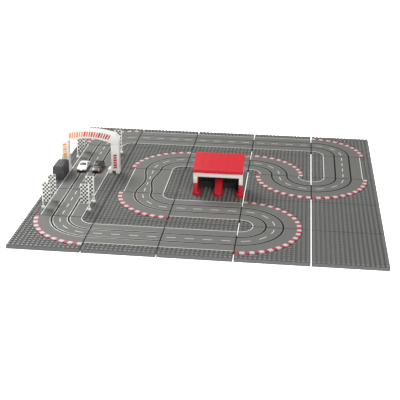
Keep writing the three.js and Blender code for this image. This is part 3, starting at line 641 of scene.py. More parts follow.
@dataclass
class Tile:
    """One tile: the slab with its track, its studs, and its rim, ribs and tongue underneath."""

    spot: Spot
    avoid: list[tuple[Vector, Vector]]
    track: Track = field(default_factory=Track)
    rim: float = 2 * MM
    rib: float = 4 * MM
    tongue: tuple[float, float, float] = (72 * MM, 2.4 * MM, 3 * MM)
    fit: float = 0.3 * MM
    stud_sides: int = 14

    def build(self) -> bpy.types.Object:
        """Builds the tile as one piece."""
        shape = Shape([Finish.DECK])
        kind = self.spot.kind
        if kind is Kind.PLAIN:
            self.slab(shape)
        elif kind in (Kind.RIGHT, Kind.LEFT):
            self.bend(shape, -kind.turn)
        else:
            self.straight(shape)
        self.underside(shape)
        self.studs(shape)
        shape.bm.transform(self.spot.place)
        return shape.finish(self.spot.node + "_look", TRACK_BODY, "deck_plastic", [self.spot.node])

    def slab(self, shape: Shape) -> None:
        """Adds the slab of a tile with no track."""
        shape.box((-HALF, -HALF, self.track.floor), (HALF, HALF, DECK_TOP), 0.3 * MM)

    def section(self, shape: Shape, strips: list[Strip], start: Strip) -> list[bmesh.types.BMEdge]:
        """Adds the closed outline of a cross-section, standing on the line Y = 0."""
        points = [start, *strips]
        verts = [shape.bm.verts.new((s.across, 0, s.height)) for s in points]
        return [shape.bm.edges.new(pair) for pair in zip(verts, [*verts[1:], verts[0]])]

    def mark(self, shape: Shape, strips: list[Strip], across: Callable, station: Callable) -> None:
        """Gives every face of a track the finish of its strip, dash or kerb block."""
        near = 0.02 * MM
        ends = list(zip(strips, strips[1:]))
        for face in shape.bm.faces:
            middle = face.calc_center_median()
            u, step = across(middle), station(middle)
            for first, last in ends:
                inside = (
                    min(first.across, last.across) - near <= u <= max(first.across, last.across) + near
                    and min(first.height, last.height) - near <= middle.z
                    <= max(first.height, last.height) + near)
                if inside:
                    face.material_index = shape.slot(self.marking(last.finish, u, step))
                    break

    def marking(self, finish: Finish, across: float, station: float) -> Finish:
        """Returns what a strip shows at a place along the tile, as a share of its length."""
        if finish is Finish.LINE and abs(across) < self.track.dash:
            count = self.track.dashes[abs(self.spot.kind.turn)]
            return finish if int(station * count * 2 + 0.5) % 2 else Finish.TRACK
        if finish is Finish.KERB_WHITE and int(station * self.track.kerb_blocks) % 2:
            return Finish.KERB_RED
        return finish

    def both_sides(self, right: list[Strip], left: list[Strip]) -> list[Strip]:
        """Joins two half sections into one that runs from the left edge to the right one."""
        ends = left[::-1]
        finishes = [Finish.DECK, *(s.finish for s in ends[:-1])]
        mirrored = [Strip(-s.across, s.height, f) for s, f in zip(ends, finishes)]
        return [*mirrored, *right]

    def straight(self, shape: Shape) -> None:
        """Adds the slab of a straight tile, with its two slots, which may squeeze together."""
        half = self.track.half_section(False, True, HALF)
        strips = self.both_sides(half, half)
        ring = self.section(shape, strips[1:], strips[0])
        verts = list({v for e in ring for v in e.verts})
        bmesh.ops.translate(shape.bm, vec=(0, -HALF, 0), verts=verts)
        first = shape.bm.faces.new([e.verts[0] for e in ring])
        length = TILE / self.track.straight_steps
        edges = ring
        for _ in range(self.track.straight_steps):
            made = bmesh.ops.extrude_edge_only(shape.bm, edges=edges)["geom"]
            moved = [v for v in made if isinstance(v, bmesh.types.BMVert)]
            bmesh.ops.translate(shape.bm, vec=(0, length, 0), verts=moved)
            edges = [e for e in made if isinstance(e, bmesh.types.BMEdge)
                     and all(v in moved for v in e.verts)]
        bmesh.ops.edgeloop_fill(shape.bm, edges=edges)
        shape.face_out()
        self.mark(shape, strips, lambda p: p.x, lambda p: (p.y + HALF) / TILE)
        first.material_index = 0
        if self.spot.kind is Kind.SQUEEZE:
            for vert in shape.bm.verts:
                if self.track.in_lane(vert.co.x):
                    vert.co.x -= math.copysign(self.track.lane_shift(vert.co.y), vert.co.x)

    def bend(self, shape: Shape, side: int) -> None:
        """Adds the slab of a curve tile, about its front corner on the given side (1 is right)."""
        outer = self.track.half_section(True, False, 2 * HALF)
        inner = self.track.half_section(False, True, HALF)
        strips = self.both_sides(outer, inner)
        ring = self.section(shape, strips[1:], strips[0])
        verts = list({v for e in ring for v in e.verts})
        bmesh.ops.translate(shape.bm, vec=(HALF, 0, 0), verts=verts)
        shape.bm.faces.new([e.verts[0] for e in ring])
        made = bmesh.ops.spin(
            shape.bm, geom=verts + ring, cent=(0, 0, 0), axis=(0, 0, 1), angle=math.pi / 2,
            steps=self.track.curve_steps)["geom_last"]
        last = [e for e in made if isinstance(e, bmesh.types.BMEdge)]
        bmesh.ops.edgeloop_fill(shape.bm, edges=last)
        bmesh.ops.remove_doubles(shape.bm, verts=list(shape.bm.verts), dist=1e-6)
        for axis in (Vector((1, 0, 0)), Vector((0, 1, 0))):
            shape.cut(axis * TILE, axis, keep_all=False)
            bmesh.ops.holes_fill(shape.bm, edges=[e for e in shape.bm.edges if e.is_boundary], sides=0)
        shape.face_out()
        self.mark(
            shape, strips, lambda p: math.hypot(p.x, p.y) - HALF,
            lambda p: math.atan2(p.y, p.x) / (math.pi / 2))
        bmesh.ops.scale(shape.bm, vec=(-side, 1, 1), verts=list(shape.bm.verts))
        bmesh.ops.translate(shape.bm, vec=(side * HALF, -HALF, 0), verts=list(shape.bm.verts))
        shape.face_out()

    def underside(self, shape: Shape) -> None:
        """Adds the rim, the ribs and the tongue that links a track tile to the next one."""
        rim, top, middle = self.rim, self.track.floor, self.rib / 2
        inside = HALF - rim
        width, height, reach = self.tongue
        linked = self.spot.kind is not Kind.PLAIN
        notch = width / 2 + self.fit if linked else 0.0
        bars = [
            ((-HALF, -inside, 0), (-inside, inside, top)), ((inside, -inside, 0), (HALF, inside, top)),
            ((-HALF, inside, 0), (HALF, HALF, top)),
            ((-HALF, -HALF, 0), (-notch, -inside, top)), ((notch, -HALF, 0), (HALF, -inside, top)),
            ((-middle, -inside, 0), (middle, inside, top)),
            ((-inside, -middle, 0), (-middle, middle, top)), ((middle, -middle, 0), (inside, middle, top))]
        if linked:
            bars.append(((-notch, -HALF, height + self.fit), (notch, -inside, top)))
        for low, high in bars:
            shape.box(low, high, finish=Finish.DECK)
        if linked:
            sunk = HALF - rim / 2
            end = HALF + PITCH - TILE + rim + reach
            link = shape.box((-width / 2, sunk, 0), (width / 2, end, height), 0.3 * MM, Finish.DECK)
            bmesh.ops.rotate(
                shape.bm, cent=(0, 0, 0), matrix=Matrix.Rotation(math.pi / 2 * self.spot.kind.turn, 3, "Z"),
                verts=link)

    def covered(self, x: float, y: float) -> bool:
        """Says whether the track or something on the deck takes the place of a stud."""
        kind, edge = self.spot.kind, self.track.half
        if kind in (Kind.STRAIGHT, Kind.SQUEEZE) and abs(x) < edge:
            return True
        if kind in (Kind.RIGHT, Kind.LEFT):
            radius = math.hypot(x + kind.turn * HALF, y + HALF)
            inner, outer = HALF - edge - STUD_RADIUS, HALF + edge + self.track.kerb + STUD_RADIUS
            if inner < radius < outer:
                return True
        point = self.spot.place @ Vector((x, y, 0))
        return any(
            low.x - STUD_RADIUS < point.x < high.x + STUD_RADIUS
            and low.y - STUD_RADIUS < point.y < high.y + STUD_RADIUS for low, high in self.avoid)

    def studs(self, shape: Shape) -> None:
        """Adds the studs that nothing covers, with softened rims."""
        before = set(shape.bm.faces)
        depth = STUD_HEIGHT + STUD_SUNK
        height = DECK_TOP + STUD_HEIGHT - depth / 2
        places = [(i + 0.5) * STUD_PITCH - HALF for i in range(TILE_STUDS)]
        for x in places:
            for y in places:
                if not self.covered(x, y):
                    bmesh.ops.create_cone(
                        shape.bm, cap_ends=True, segments=self.stud_sides, radius1=STUD_RADIUS,
                        radius2=STUD_RADIUS, depth=depth, matrix=Matrix.Translation((x, y, height)))
        crown = DECK_TOP + STUD_HEIGHT - 0.01 * MM
        rims = {e for f in shape.bm.faces if f not in before for e in f.edges
                if all(v.co.z > crown for v in e.verts)}
        shape.soften(rims, 0.3 * MM, 1)
        # The studs take the lighter tone of the deck plastic: a painted highlight on the studs, against
        # painted shade on the deck between them.
        shape.paint(shape.added(before), Finish.STUD)


def stand_places() -> list[tuple[Vector, Vector]]:
    """Returns the boxes of everything that stands on the decks in place of studs."""
    feet = [n for n in frame["nodes"] if "banner" in n or n.endswith("pylon") or n.startswith("pit_divider")]
    boxes = [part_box(n) for n in feet + ["power_terminal_housing", "pit_back_wall"]]
    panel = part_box("left_banner_1")
    foot = panel[1].y - panel[0].y
    trimmed = []
    for name, (low, high) in zip(feet + ["", ""], boxes):
        if name.startswith("left_banner"):
            high = Vector((low.x + foot, high.y, high.z))
        elif name.startswith("right_banner"):
            low = Vector((high.x - foot, low.y, low.z))
        trimmed.append((low, high))
    return trimmed


# ---------------------------------------------------------------- start arch
@dataclass
class StartArch:
    """The arch over the start line: two pylons on notched bases, and a bowed beam."""

    width: float = 17 * MM
    base: float = 9.6 * MM
    tunnel: Point = (8 * MM, 6.5 * MM)
    band: float = 18.8 * MM
    outer: float = 177 * MM
    inner: float = 122 * MM
    shoulder: Point = (14 * MM, 16 * MM)
    soft: float = 1.2 * MM
    proud: float = 0.3 * MM
    bars: int = 17
    margin: float = 0.5
    print_band: Point = mm(14.6, 4.2)
    bar_width: Point = (0.34, 0.24)
    bar_lean: float = 0.3
    label_bars: int = 6
    label_start: Point = mm(20, 1.5)
    label_inset: float = 5 * MM
    label_step: float = 5.2 * MM
    label_lean: float = 1.6 * MM
    label_fill: float = 0.72
    base_soft: float = 0.5 * MM
    flush: float = 0.2 * MM

    def build(self) -> None:
        """Builds the three pieces."""
        for side in ("left", "right"):
            self.pylon(side)
        self.beam()

    def pylon(self, side: str) -> None:
        """Builds one pylon, with a printed label on its front."""
        node = f"arch_{side}_pylon"
        low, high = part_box(node)
        column = (high.x - self.width, high.x)
        top = low.z + self.tunnel[1]
        middle, half = (low.x + high.x) / 2, self.tunnel[0] / 2
        shape = Shape([Finish.WHITE])
        floor = low.z + self.base
        outline = [
            (low.x, low.z), (middle - half, low.z), (middle - half, top), (middle + half, top),
            (middle + half, low.z), (high.x, low.z), (high.x, floor), (low.x, floor)]
        shape.prism(outline, "Y", low.y, high.y, self.base_soft)
        flush = self.flush
        shape.box(
            (column[0] + flush, low.y + flush, floor - 2 * self.soft),
            (column[1] - flush, high.y - flush, high.z), self.soft)
        self.label(shape, column, floor, low.y + flush, side)
        for x in (low.x + STUD_PITCH / 2, high.x - STUD_PITCH / 2):
            if not column[0] - STUD_RADIUS < x < column[1] + STUD_RADIUS:
                for y in (low.y + STUD_PITCH / 2, high.y - STUD_PITCH / 2):
                    foot = Vector((x, y, floor - 0.3 * MM))
                    shape.rod(foot, (x, y, floor + STUD_HEIGHT), STUD_RADIUS, 20, 0.3 * MM)
        shape.finish(node + "_look", TRACK_BODY, "white_plastic", [node])

    def label(self, shape: Shape, column: Point, floor: float, front: float, side: str) -> None:
        """Adds a column of printed blocks to a pylon."""
        colours = (Finish.YELLOW, Finish.ORANGE) if side == "left" else (Finish.SCARLET, Finish.CRIMSON)
        left, right = column[0] + self.label_inset, column[1] - self.label_inset
        tall = self.label_step * self.label_fill
        for i in range(self.label_bars):
            z = floor + self.label_start[side == "right"] + i * self.label_step
            far = z + self.label_lean
            outline = [(left, z), (right, far), (right, far + tall), (left, z + tall)]
            shape.prism(outline, "Y", front - self.proud, front + self.proud, 0.0, colours[i % 2])

    def beam(self) -> None:
        """Builds the beam, with a fan of printed bars along its bow."""
        low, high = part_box("arch_beam")
        middle = (low.x + high.x) / 2
        half, crown, foot = (high.x - low.x) / 2, high.z, low.z
        gap, bow = half - self.width, half - self.shoulder[0]
        outer_centre = (middle, crown - self.outer)
        inner_centre = (middle, crown - self.band - self.inner)
        reach = math.degrees(math.asin(bow / self.outer))
        span = math.degrees(math.asin(gap / self.inner))
        upper = outer_centre[1] + self.outer * math.cos(math.radians(reach))
        wide, drop = self.shoulder
        turn = [math.radians(90 * i / 8) for i in range(1, 8)]
        bend = [(half - wide + wide * math.sin(a), upper - drop + drop * math.cos(a)) for a in turn]
        right = [(middle + x, z) for x, z in bend[::-1]]
        left = [(middle - x, z) for x, z in bend]
        outline = [
            (middle + gap, foot), (high.x, foot), (high.x, upper - drop), *right,
            *arc(outer_centre, self.outer, 90 - reach, 90 + reach, 24), *left,
            (low.x, upper - drop), (low.x, foot), (middle - gap, foot),
            *arc(inner_centre, self.inner, 90 + span, 90 - span, 24)]
        shape = Shape([Finish.WHITE])
        shape.prism(outline, "Y", low.y, high.y, self.soft, segments=3)
        self.bow_print(shape, outer_centre, low.y, high.y, reach)
        shape.finish("arch_beam_look", TRACK_BODY, "white_plastic", ["arch_beam"])

    def bow_print(self, shape: Shape, centre: Point, front: float, back: float, reach: float) -> None:
        """Adds slanting printed bars that fade from orange to crimson, on both faces of the beam."""
        colours = (Finish.ORANGE, Finish.SCARLET, Finish.CRIMSON)
        low, high = (self.outer - inset for inset in self.print_band)
        step = 2 * (reach - self.margin) / self.bars
        for i in range(self.bars):
            turn = 90 + reach - self.margin - (i + 0.5) * step
            wide, lean = step * self.bar_width[i % 3 != 0], step * self.bar_lean
            corners = [(low, wide + lean), (low, -wide + lean), (high, -wide - lean), (high, wide - lean)]
            outline = [arc(centre, radius, turn + swing, turn + swing, 1)[0] for radius, swing in corners]
            finish = colours[min(2, 3 * i // self.bars)]
            for face in (front, back):
                shape.prism(outline, "Y", face - self.proud, face + self.proud, 0.0, finish)


# ---------------------------------------------------------------- banners
@dataclass
class Banner:
    """A chequered flag panel on a pole, which turns on the stud under its foot."""

    node: str
    pole: float = 1.2 * MM
    foot: Point = (3.6 * MM, 3.4 * MM)
    thick: float = 1.2 * MM
    height: float = 39 * MM
    finial: float = 1.0 * MM
    border: float = 0.7 * MM
    columns: int = 4
    rows: int = 10

    def build(self) -> None:
        """Builds the banner as one piece."""
        low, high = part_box(self.node)
        side = 1 if self.node.startswith("left") else -1
        radius, tall = self.foot
        x = low.x + radius if side > 0 else high.x - radius
        y = (low.y + high.y) / 2
        shape = Shape([Finish.WHITE])
        shape.lathe(
            [(0, 0), (0, radius), (tall * 0.7, radius), (tall * 0.9, radius * 0.9), (tall, radius * 0.6),
             (tall + self.pole, self.pole), (high.z - low.z - self.pole, self.pole),
             (high.z - low.z - 0.3 * self.pole, self.pole * 0.7), (high.z - low.z, 0)],
            (x, y, low.z), "Z", 24)
        top = high.z - self.finial
        end = high.x if side > 0 else low.x
        self.panel(shape, sorted((x, end)), y, (top - self.height, top))
        for z in (top - 2 * MM, top - self.height + 2 * MM):
            shape.rod((x, y, z - MM), (x, y, z + MM), self.pole * 1.35, 16, 0.2 * MM)
        shape.finish(self.node + "_look", self.node, "white_plastic", [self.node])

    def panel(self, shape: Shape, across: list[float], y: float, up: Point) -> None:
        """Adds the panel: a grid of black and white checks inside a rim."""
        before = set(shape.bm.faces)
        half = self.thick / 2
        verts = shape.box((across[0], y - half, up[0]), (across[1], y + half, up[1]))
        start, end = across[0] + self.pole, across[1] - self.border
        if self.node.startswith("right"):
            start, end = across[0] + self.border, across[1] - self.pole
        floor, head = up[0] + self.border, up[1] - self.border
        wide, tall = (end - start) / self.columns, (head - floor) / self.rows
        cuts = [(Vector((start + i * wide, 0, 0)), Vector((1, 0, 0))) for i in range(self.columns + 1)]
        cuts += [(Vector((0, 0, floor + i * tall)), Vector((0, 0, 1))) for i in range(self.rows + 1)]
        for place, normal in cuts:
            faces = shape.added(before)
            edges = list({e for f in faces for e in f.edges})
            verts = list({v for f in faces for v in f.verts})
            bmesh.ops.bisect_plane(
                shape.bm, geom=[*verts, *edges, *faces], dist=1e-7, plane_co=place, plane_no=normal)
        shape.bm.normal_update()
        for face in shape.added(before):
            middle = face.calc_center_median()
            column, row = (middle.x - start) / wide, (middle.z - floor) / tall
            if 0 < column < self.columns and 0 < row < self.rows and abs(face.normal.y) > 0.9:
                dark = (int(column) + int(row)) % 2 == 0
                face.material_index = shape.slot(Finish.BLACK if dark else Finish.WHITE)


# ---------------------------------------------------------------- power terminal
@dataclass
class PowerTerminal:
    """The box that feeds the rails: a ribbed housing with an inlet, under a chamfered lid."""

    chamfer: float = 3 * MM
    soft: float = 0.6 * MM
    ribs: int = 5
    rib: tuple[float, float, float, float] = mm(0.5, 1, 4, 3)
    inlet: float = 3.2 * MM
    inlet_bore: float = 0.55
    inlet_proud: float = 0.6 * MM
    pin: Point = mm(0.7, 0.2)
    button: tuple[float, float, float] = mm(7, 5, 0.9)
    vents: int = 6
    vent: tuple[float, float, float, float] = mm(7, 9, 5, 1.6)
    vent_proud: float = 0.25 * MM
    groove: tuple[float, float, float, float] = mm(0.1, 2, 0.3, 1)
    seat: float = 0.05 * MM

    def build(self) -> None:
        """Builds the housing and the lid."""
        self.housing()
        self.lid()

    def housing(self) -> None:
        """Builds the housing, with ribs on its sides and the plug's inlet at the outer side."""
        low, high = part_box("power_terminal_housing")
        shape = Shape([Finish.TERMINAL])
        shape.box(low, high, self.soft)
        length = high.y - low.y
        deep, half, under, over = self.rib
        for i in range(self.ribs):
            y = low.y + length * (i + 1) / (self.ribs + 1)
            shape.box(
                (high.x - deep, y - half, low.z + under), (high.x + deep, y + half, high.z - over), 0.3 * MM)
        x, z = (low.x + high.x) / 2, (low.z + high.z) / 2
        bore, proud = self.inlet * self.inlet_bore, self.inlet_proud
        ring = [(proud, bore), (-deep, bore), (-deep, self.inlet), (proud, self.inlet), (proud, bore)]
        shape.lathe(ring, (x, low.y, z), "Y", 24, Finish.BLACK)
        pin, reach = self.pin
        shape.rod((x, low.y + deep, z), (x, low.y - reach, z), pin, 12, 0.2 * MM, Finish.STEEL)
        across, up, radius = self.button
        shape.ball((x + across, low.y, z + up), radius, Finish.KERB_RED)
        node = "power_terminal_housing"
        shape.finish(f"{node}_look", TRACK_BODY, "terminal_plastic", [node])

    def lid(self) -> None:
        """Builds the lid, with a black band along its sides and vents on its top."""
        low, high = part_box("power_terminal_cover")
        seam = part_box("power_terminal_housing")[1].z + self.seat
        c = self.chamfer
        outline = [
            (low.x, seam), (high.x, seam), (high.x, high.z - c), (high.x - c, high.z), (low.x + c, high.z),
            (low.x, high.z - c)]
        shape = Shape([Finish.TERMINAL])
        shape.prism(outline, "Y", low.y, high.y, self.soft)
        proud, end, bottom, top = self.groove
        shape.box(
            (low.x - proud, low.y + end, seam + bottom), (high.x + proud, high.y - end, seam + top),
            0.1 * MM, Finish.BLACK)
        side, first, pitch, wide = self.vent
        for i in range(self.vents):
            y = low.y + first + i * pitch
            shape.box(
                (low.x + side, y, high.z - MM), (high.x - side, y + wide, high.z + self.vent_proud),
                0.2 * MM, Finish.BLACK)
        node = "power_terminal_cover"
        shape.finish(f"{node}_look", TRACK_BODY, "terminal_plastic", [node])


# ---------------------------------------------------------------- pit building
@dataclass
class PitBuilding:
    """The pit stop: a red roof of bricks on a white frame, red dividers with toes, and a back wall."""

    post: float = 8 * MM
    beam: float = 9.6 * MM
    gable: float = 4 * MM
    toe: tuple[float, float, float] = (16 * MM, 7 * MM, 4 * MM)
    divider: float = 14 * MM
    toe_out: float = 2 * MM
    step: float = 1 * MM
    roof_thick: float = 5.6 * MM
    eave: float = 4 * MM
    soft: float = 0.5 * MM
    courses: int = 6
    bricks: int = 6
    seam: float = 0.25 * MM
    flush: float = 0.15 * MM
    bay_start: Point = mm(14, 9)
    shelf: tuple[float, float, float] = mm(22, 3, 1.2)
    shelf_heights: Point = mm(12, 24)
    spares: int = 3
    spare_pitch: Point = mm(4, 7)
    spare: tuple[float, float, float] = mm(2.6, 0.5, 16)

    def build(self) -> None:
        """Builds every piece of the building."""
        for side in ("left", "centre", "right"):
            self.wall(side)
        self.frame()
        self.back()
        self.roof()

    def wall(self, side: str) -> None:
        """Builds one divider: a rounded toe, and a wall under a post or a wedge that rises to the back."""
        node = f"pit_divider_{side}"
        low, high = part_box(node)
        wide, tall, reach = self.toe
        front = low.y + reach
        if side == "centre":
            toe_centre = (low.x + high.x) / 2
            walls = (toe_centre - self.divider / 2, toe_centre + self.divider / 2)
            front_top = low.z + tall + self.step
        elif side == "left":
            toe_centre = low.x + wide / 2
            walls = (low.x + self.toe_out, low.x + self.toe_out + self.post)
            front_top = high.z
        else:
            toe_centre = high.x - wide / 2
            walls = (high.x - self.toe_out - self.post, high.x - self.toe_out)
            front_top = high.z
        half = wide / 2
        shape = Shape([Finish.RED])
        outline = [
            (front - reach / 2, low.z), (front - reach / 2, low.z + tall - 0.2 * MM), (front, front_top),
            (high.y, high.z), (high.y, low.z)]
        shape.prism(outline, "X", *walls, self.soft)
        toe = [*arc((toe_centre, front + half - reach), half, 180, 360, 16),
               (toe_centre + half, front + self.post + half), (toe_centre - half, front + self.post + half)]
        shape.prism(toe, "Z", low.z, low.z + tall, 0.9 * MM, segments=3)
        shape.finish(node + "_look", TRACK_BODY, "red_plastic", [node])

    def frame(self) -> None:
        """Builds the white posts, the front beam and the gables."""
        low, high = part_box("pit_front_frame")
        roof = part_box("pit_roof")
        under = roof[1].z - self.roof_thick
        front_top = roof[0].z
        floor = front_top - self.beam
        shape = Shape([Finish.WHITE])
        shape.box((low.x, low.y, floor), (high.x, low.y + self.post, front_top - 0.05 * MM), self.soft)
        flush, width = self.flush, self.post - self.flush
        for x in (low.x, high.x - self.post):
            shape.box((x + flush, low.y + flush, low.z), (x + width, low.y + width, floor + MM), self.soft)
        slope = (under - front_top) / (roof[1].y - (roof[0].y + self.eave))
        back_top = front_top + slope * (high.y - low.y)
        start = low.y + self.post / 2
        start_top = front_top + slope * (start - low.y)
        spare = 0.1 * MM
        outline = [(start, floor), (high.y, floor), (high.y, back_top - spare), (start, start_top - spare)]
        for x in (low.x + flush, high.x - self.gable - flush):
            shape.prism(outline, "X", x, x + self.gable, self.soft)
        shape.finish("pit_front_frame_look", TRACK_BODY, "white_plastic", ["pit_front_frame"])

    def back(self) -> None:
        """Builds the dark back wall, with two shelves and three spare wheels in each bay on its inside."""
        low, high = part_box("pit_back_wall")
        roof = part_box("pit_roof")
        slope = (roof[1].z - self.roof_thick - roof[0].z) / (roof[1].y - roof[0].y - self.eave)
        front_top = high.z - slope * (high.y - low.y)
        shape = Shape([Finish.DARK_WALL])
        outline = [(low.y, low.z), (high.y, low.z), (high.y, high.z), (low.y, front_top)]
        shape.prism(outline, "X", low.x, high.x, self.soft)
        length, deep, thick = self.shelf
        radius, sunk, up = self.spare
        first, pitch = self.spare_pitch
        for i, start in enumerate(self.bay_start):
            left = low.x + i * (high.x - low.x) / 2 + start
            for z in self.shelf_heights:
                shape.box(
                    (left, low.y - deep, low.z + z), (left + length, low.y + MM, low.z + z + thick),
                    0.2 * MM, Finish.TERMINAL)
            for k in range(self.spares):
                x, z = left + first + pitch * k, low.z + up
                shape.rod((x, low.y - radius, z), (x, low.y + sunk, z), radius, 16, 0.5 * MM, Finish.TYRE)
        shape.finish("pit_back_wall_look", TRACK_BODY, "wall_plastic", ["pit_back_wall"])

    def roof(self) -> None:
        """Builds the roof, with seams between its bricks cut into the slope and the fascia."""
        low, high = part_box("pit_roof")
        front = low.y + self.eave
        top = low.z + self.roof_thick
        under = high.z - self.roof_thick
        outline = [(low.y, low.z), (front, low.z), (high.y, under), (high.y, high.z), (low.y, top)]
        shape = Shape([Finish.RED])
        shape.prism(outline, "X", low.x, high.x)
        slope = Vector((0, high.y - low.y, high.z - top)).normalized()
        start = Vector((0, low.y, top))
        length = math.hypot(high.y - low.y, high.z - top)
        for i in range(1, self.courses):
            shape.cut(start + slope * (length * i / self.courses), slope)
        for i in range(1, self.bricks):
            shape.cut(Vector((low.x + (high.x - low.x) * i / self.bricks, 0, 0)), Vector((1, 0, 0)))
        shape.bm.normal_update()
        up = [f for f in shape.bm.faces if f.normal.dot(slope.cross(Vector((-1, 0, 0)))) > 0.98
              or f.normal.y < -0.95]
        bmesh.ops.inset_individual(
            shape.bm, faces=up, thickness=self.seam, depth=self.seam, use_even_offset=True)
        shape.finish("pit_roof_look", TRACK_BODY, "red_plastic", ["pit_roof"])


# ---------------------------------------------------------------- cars
@dataclass(frozen=True)
class Livery:
    """The finishes of a car's body, bumpers and stripe, and the record's slot of its body."""

    body: Finish
    bumper: Finish
    stripe: Finish
    slot: str


@dataclass(frozen=True)
class WheelSet:
    """A pair of wheels on their axle: place behind the pivot, height, radius, width and arch radius."""

    name: str
    behind: float
    height: float
    radius: float
    width: float
    arch: float


@dataclass
class Car:
    """A slot car: its shell, tinted cabin, two sets of wheels and guide; it faces the front of the table."""

    name: str
    livery: Livery
    half: float = 10 * MM
    sill: float = 1.8 * MM
    outline: tuple[Point, ...] = (
        mm(37.5, 1.8), mm(37.5, 9.6), mm(36.6, 10.2), mm(33.2, 9.9),
        mm(28.6, 11.7), mm(24.5, 12.8), mm(20.0, 13), mm(16, 12.8),
        mm(12.4, 10.8), mm(9, 8.7), mm(4.5, 8.6), mm(1, 8.2),
        mm(-3.2, 7.1), mm(-7.1, 5.5), mm(-8.5, 4.2), mm(-8.5, 1.8))
    front: WheelSet = WheelSet("front", *mm(4.5, 3.6, 3.5, 3.2, 3.95))
    rear: WheelSet = WheelSet("rear", *mm(28, 4.3, 4.2, 4, 4.85))
    tyre_edge: float = 9.6 * MM
    axle: float = 0.75 * MM
    crown: tuple[float, float, float] = mm(1.3, 2.6, 3.5)
    teeth: int = 22
    spokes: int = 5
    wall: float = 0.7 * MM
    waist: float = 8.8 * MM
    soft: float = 1.3 * MM
    nose: float = 8.5 * MM
    roof: float = 13 * MM
    tail: Point = mm(33, 37.5)
    door: Point = mm(9, 23)
    bumper_top: float = 3.4 * MM
    grille: tuple[float, float, float] = mm(-5.5, 6.2, 3)
    screen: float = 7.2 * MM
    window: Point = mm(9.6, 12.2)
    cuts_x: tuple[float, ...] = mm(-8.4, -7.2, -3, 0, 3, 7.2, 8.4)
    cuts_y: tuple[float, ...] = mm(-5.5, 10.5, 12.6, 16.2, 17.6, 21, 23.6, 25.4, 31.4)
    cuts_z: tuple[float, ...] = mm(3.4, 6.2, 8.8)
    pivot: Vector = field(init=False)

    def __post_init__(self) -> None:
        """Finds the pivot of the guide, on the track's surface."""
        joint = next(j for j in frame["joints"] if j["name"] == f"{self.name}_yaw")
        self.pivot = Vector((joint["pos_m"][0], joint["pos_m"][1], TRACK_TOP))

    def build(self) -> None:
        """Builds the car's pieces."""
        self.shell()
        self.cabin()
        self.wheels(self.front)
        self.wheels(self.rear)
        self.brushes()
        for part, finish in (
            ("chassis", Finish.CHASSIS), ("motor_can", Finish.STEEL), ("motor_armature", Finish.COPPER),
            ("guide", Finish.CHASSIS),
        ):
            self.dress(f"{self.name}_{part}", finish)

    def dress(self, node: str, finish: Finish) -> None:
        """Gives a node of the model, whose shape is right, its finish."""
        for material_slot in bpy.data.objects[node].material_slots:
            material_slot.material = finish.material()
        LOG.info("%s: kept, in %s", node, finish.value.name)

    def put(self, shape: Shape) -> None:
        """Moves a shape from the car's own frame to the track."""
        bmesh.ops.translate(shape.bm, vec=self.pivot, verts=list(shape.bm.verts))

    def in_arch(self, point: Vector, spare: float = 0.06 * MM) -> bool:
        """Says whether a point lies on or inside a wheel arch."""
        return any(
            math.hypot(point.y - wheel.behind, point.z - wheel.height) < wheel.arch + spare
            for wheel in (self.front, self.rear))

    def side_outline(self) -> list[Point]:
        """Returns the side view of the body, with the two wheel arches cut into its sill."""
        points = list(self.outline)
        for wheel in (self.front, self.rear):
            drop = math.degrees(math.asin((wheel.height - self.sill) / wheel.arch))
            points += arc((wheel.behind, wheel.height), wheel.arch, 180 + drop, -drop, 14)
        return points

    def form(self, point: Vector) -> Vector:
        """Returns where a point of the straight-sided body goes: tapered, waisted and crowned."""
        x, y, z = point
        share = 1.0
        if z > self.waist:
            share -= 0.24 * (z - self.waist) / (self.roof - self.waist)
        if y < 0:
            share -= 0.16 * (y / self.nose) ** 2
        start, end = self.tail
        if y > start:
            share -= 0.05 * (y - start) / (end - start)
        start, end = self.door
        if start < y < end and z < self.waist:
            share -= 0.06 * math.sin(math.pi * (y - start) / (end - start))
        crown = 0.55 * MM * (x / self.half) ** 2 if z > 4.5 * MM else 0.0
        return Vector((x * share, y, z - crown))

    def hull(self) -> Shape:
        """Returns the whole body in its own frame, cut by the lines that its form and openings need."""
        shape = Shape([self.livery.body])
        shape.prism(self.side_outline(), "X", -self.half, self.half)
        rims = [
            e for e in shape.bm.edges
            if abs(abs(e.verts[0].co.x) - self.half) < 1e-6 and abs(e.verts[0].co.x - e.verts[1].co.x) < 1e-6
            and not self.in_arch((e.verts[0].co + e.verts[1].co) / 2)
            and max(v.co.z for v in e.verts) > self.sill + 0.1 * MM]
        shape.soften(rims, self.soft, 3)
        for axis, places in enumerate((self.cuts_x, self.cuts_y, self.cuts_z)):
            normal = Vector([float(i == axis) for i in range(3)])
            for place in places:
                shape.cut(normal * place, normal)
        for z in self.window:
            shape.cut(Vector((0, 0, z)), Vector((0, 0, 1)))
        shape.bm.normal_update()
        return shape

    def is_glass(self, face: bmesh.types.BMFace) -> bool:
        """Says whether a face of the hull belongs to the screen, a side window or the rear window."""
        middle, normal = face.calc_center_median(), face.normal
        x, y, z = abs(middle.x), middle.y, middle.z
        if abs(normal.x) > 0.85:
            lean = (z - self.window[0]) * 1.2
            return self.window[0] < z < self.window[1] and 12.6 * MM + lean < y < 25.4 * MM and not (
                16.2 * MM < y < 17.6 * MM)
        if normal.z > 0.3 and x < self.screen:
            return 10.4 * MM < y < 16.2 * MM or 25.4 * MM < y < 31.4 * MM
        return False

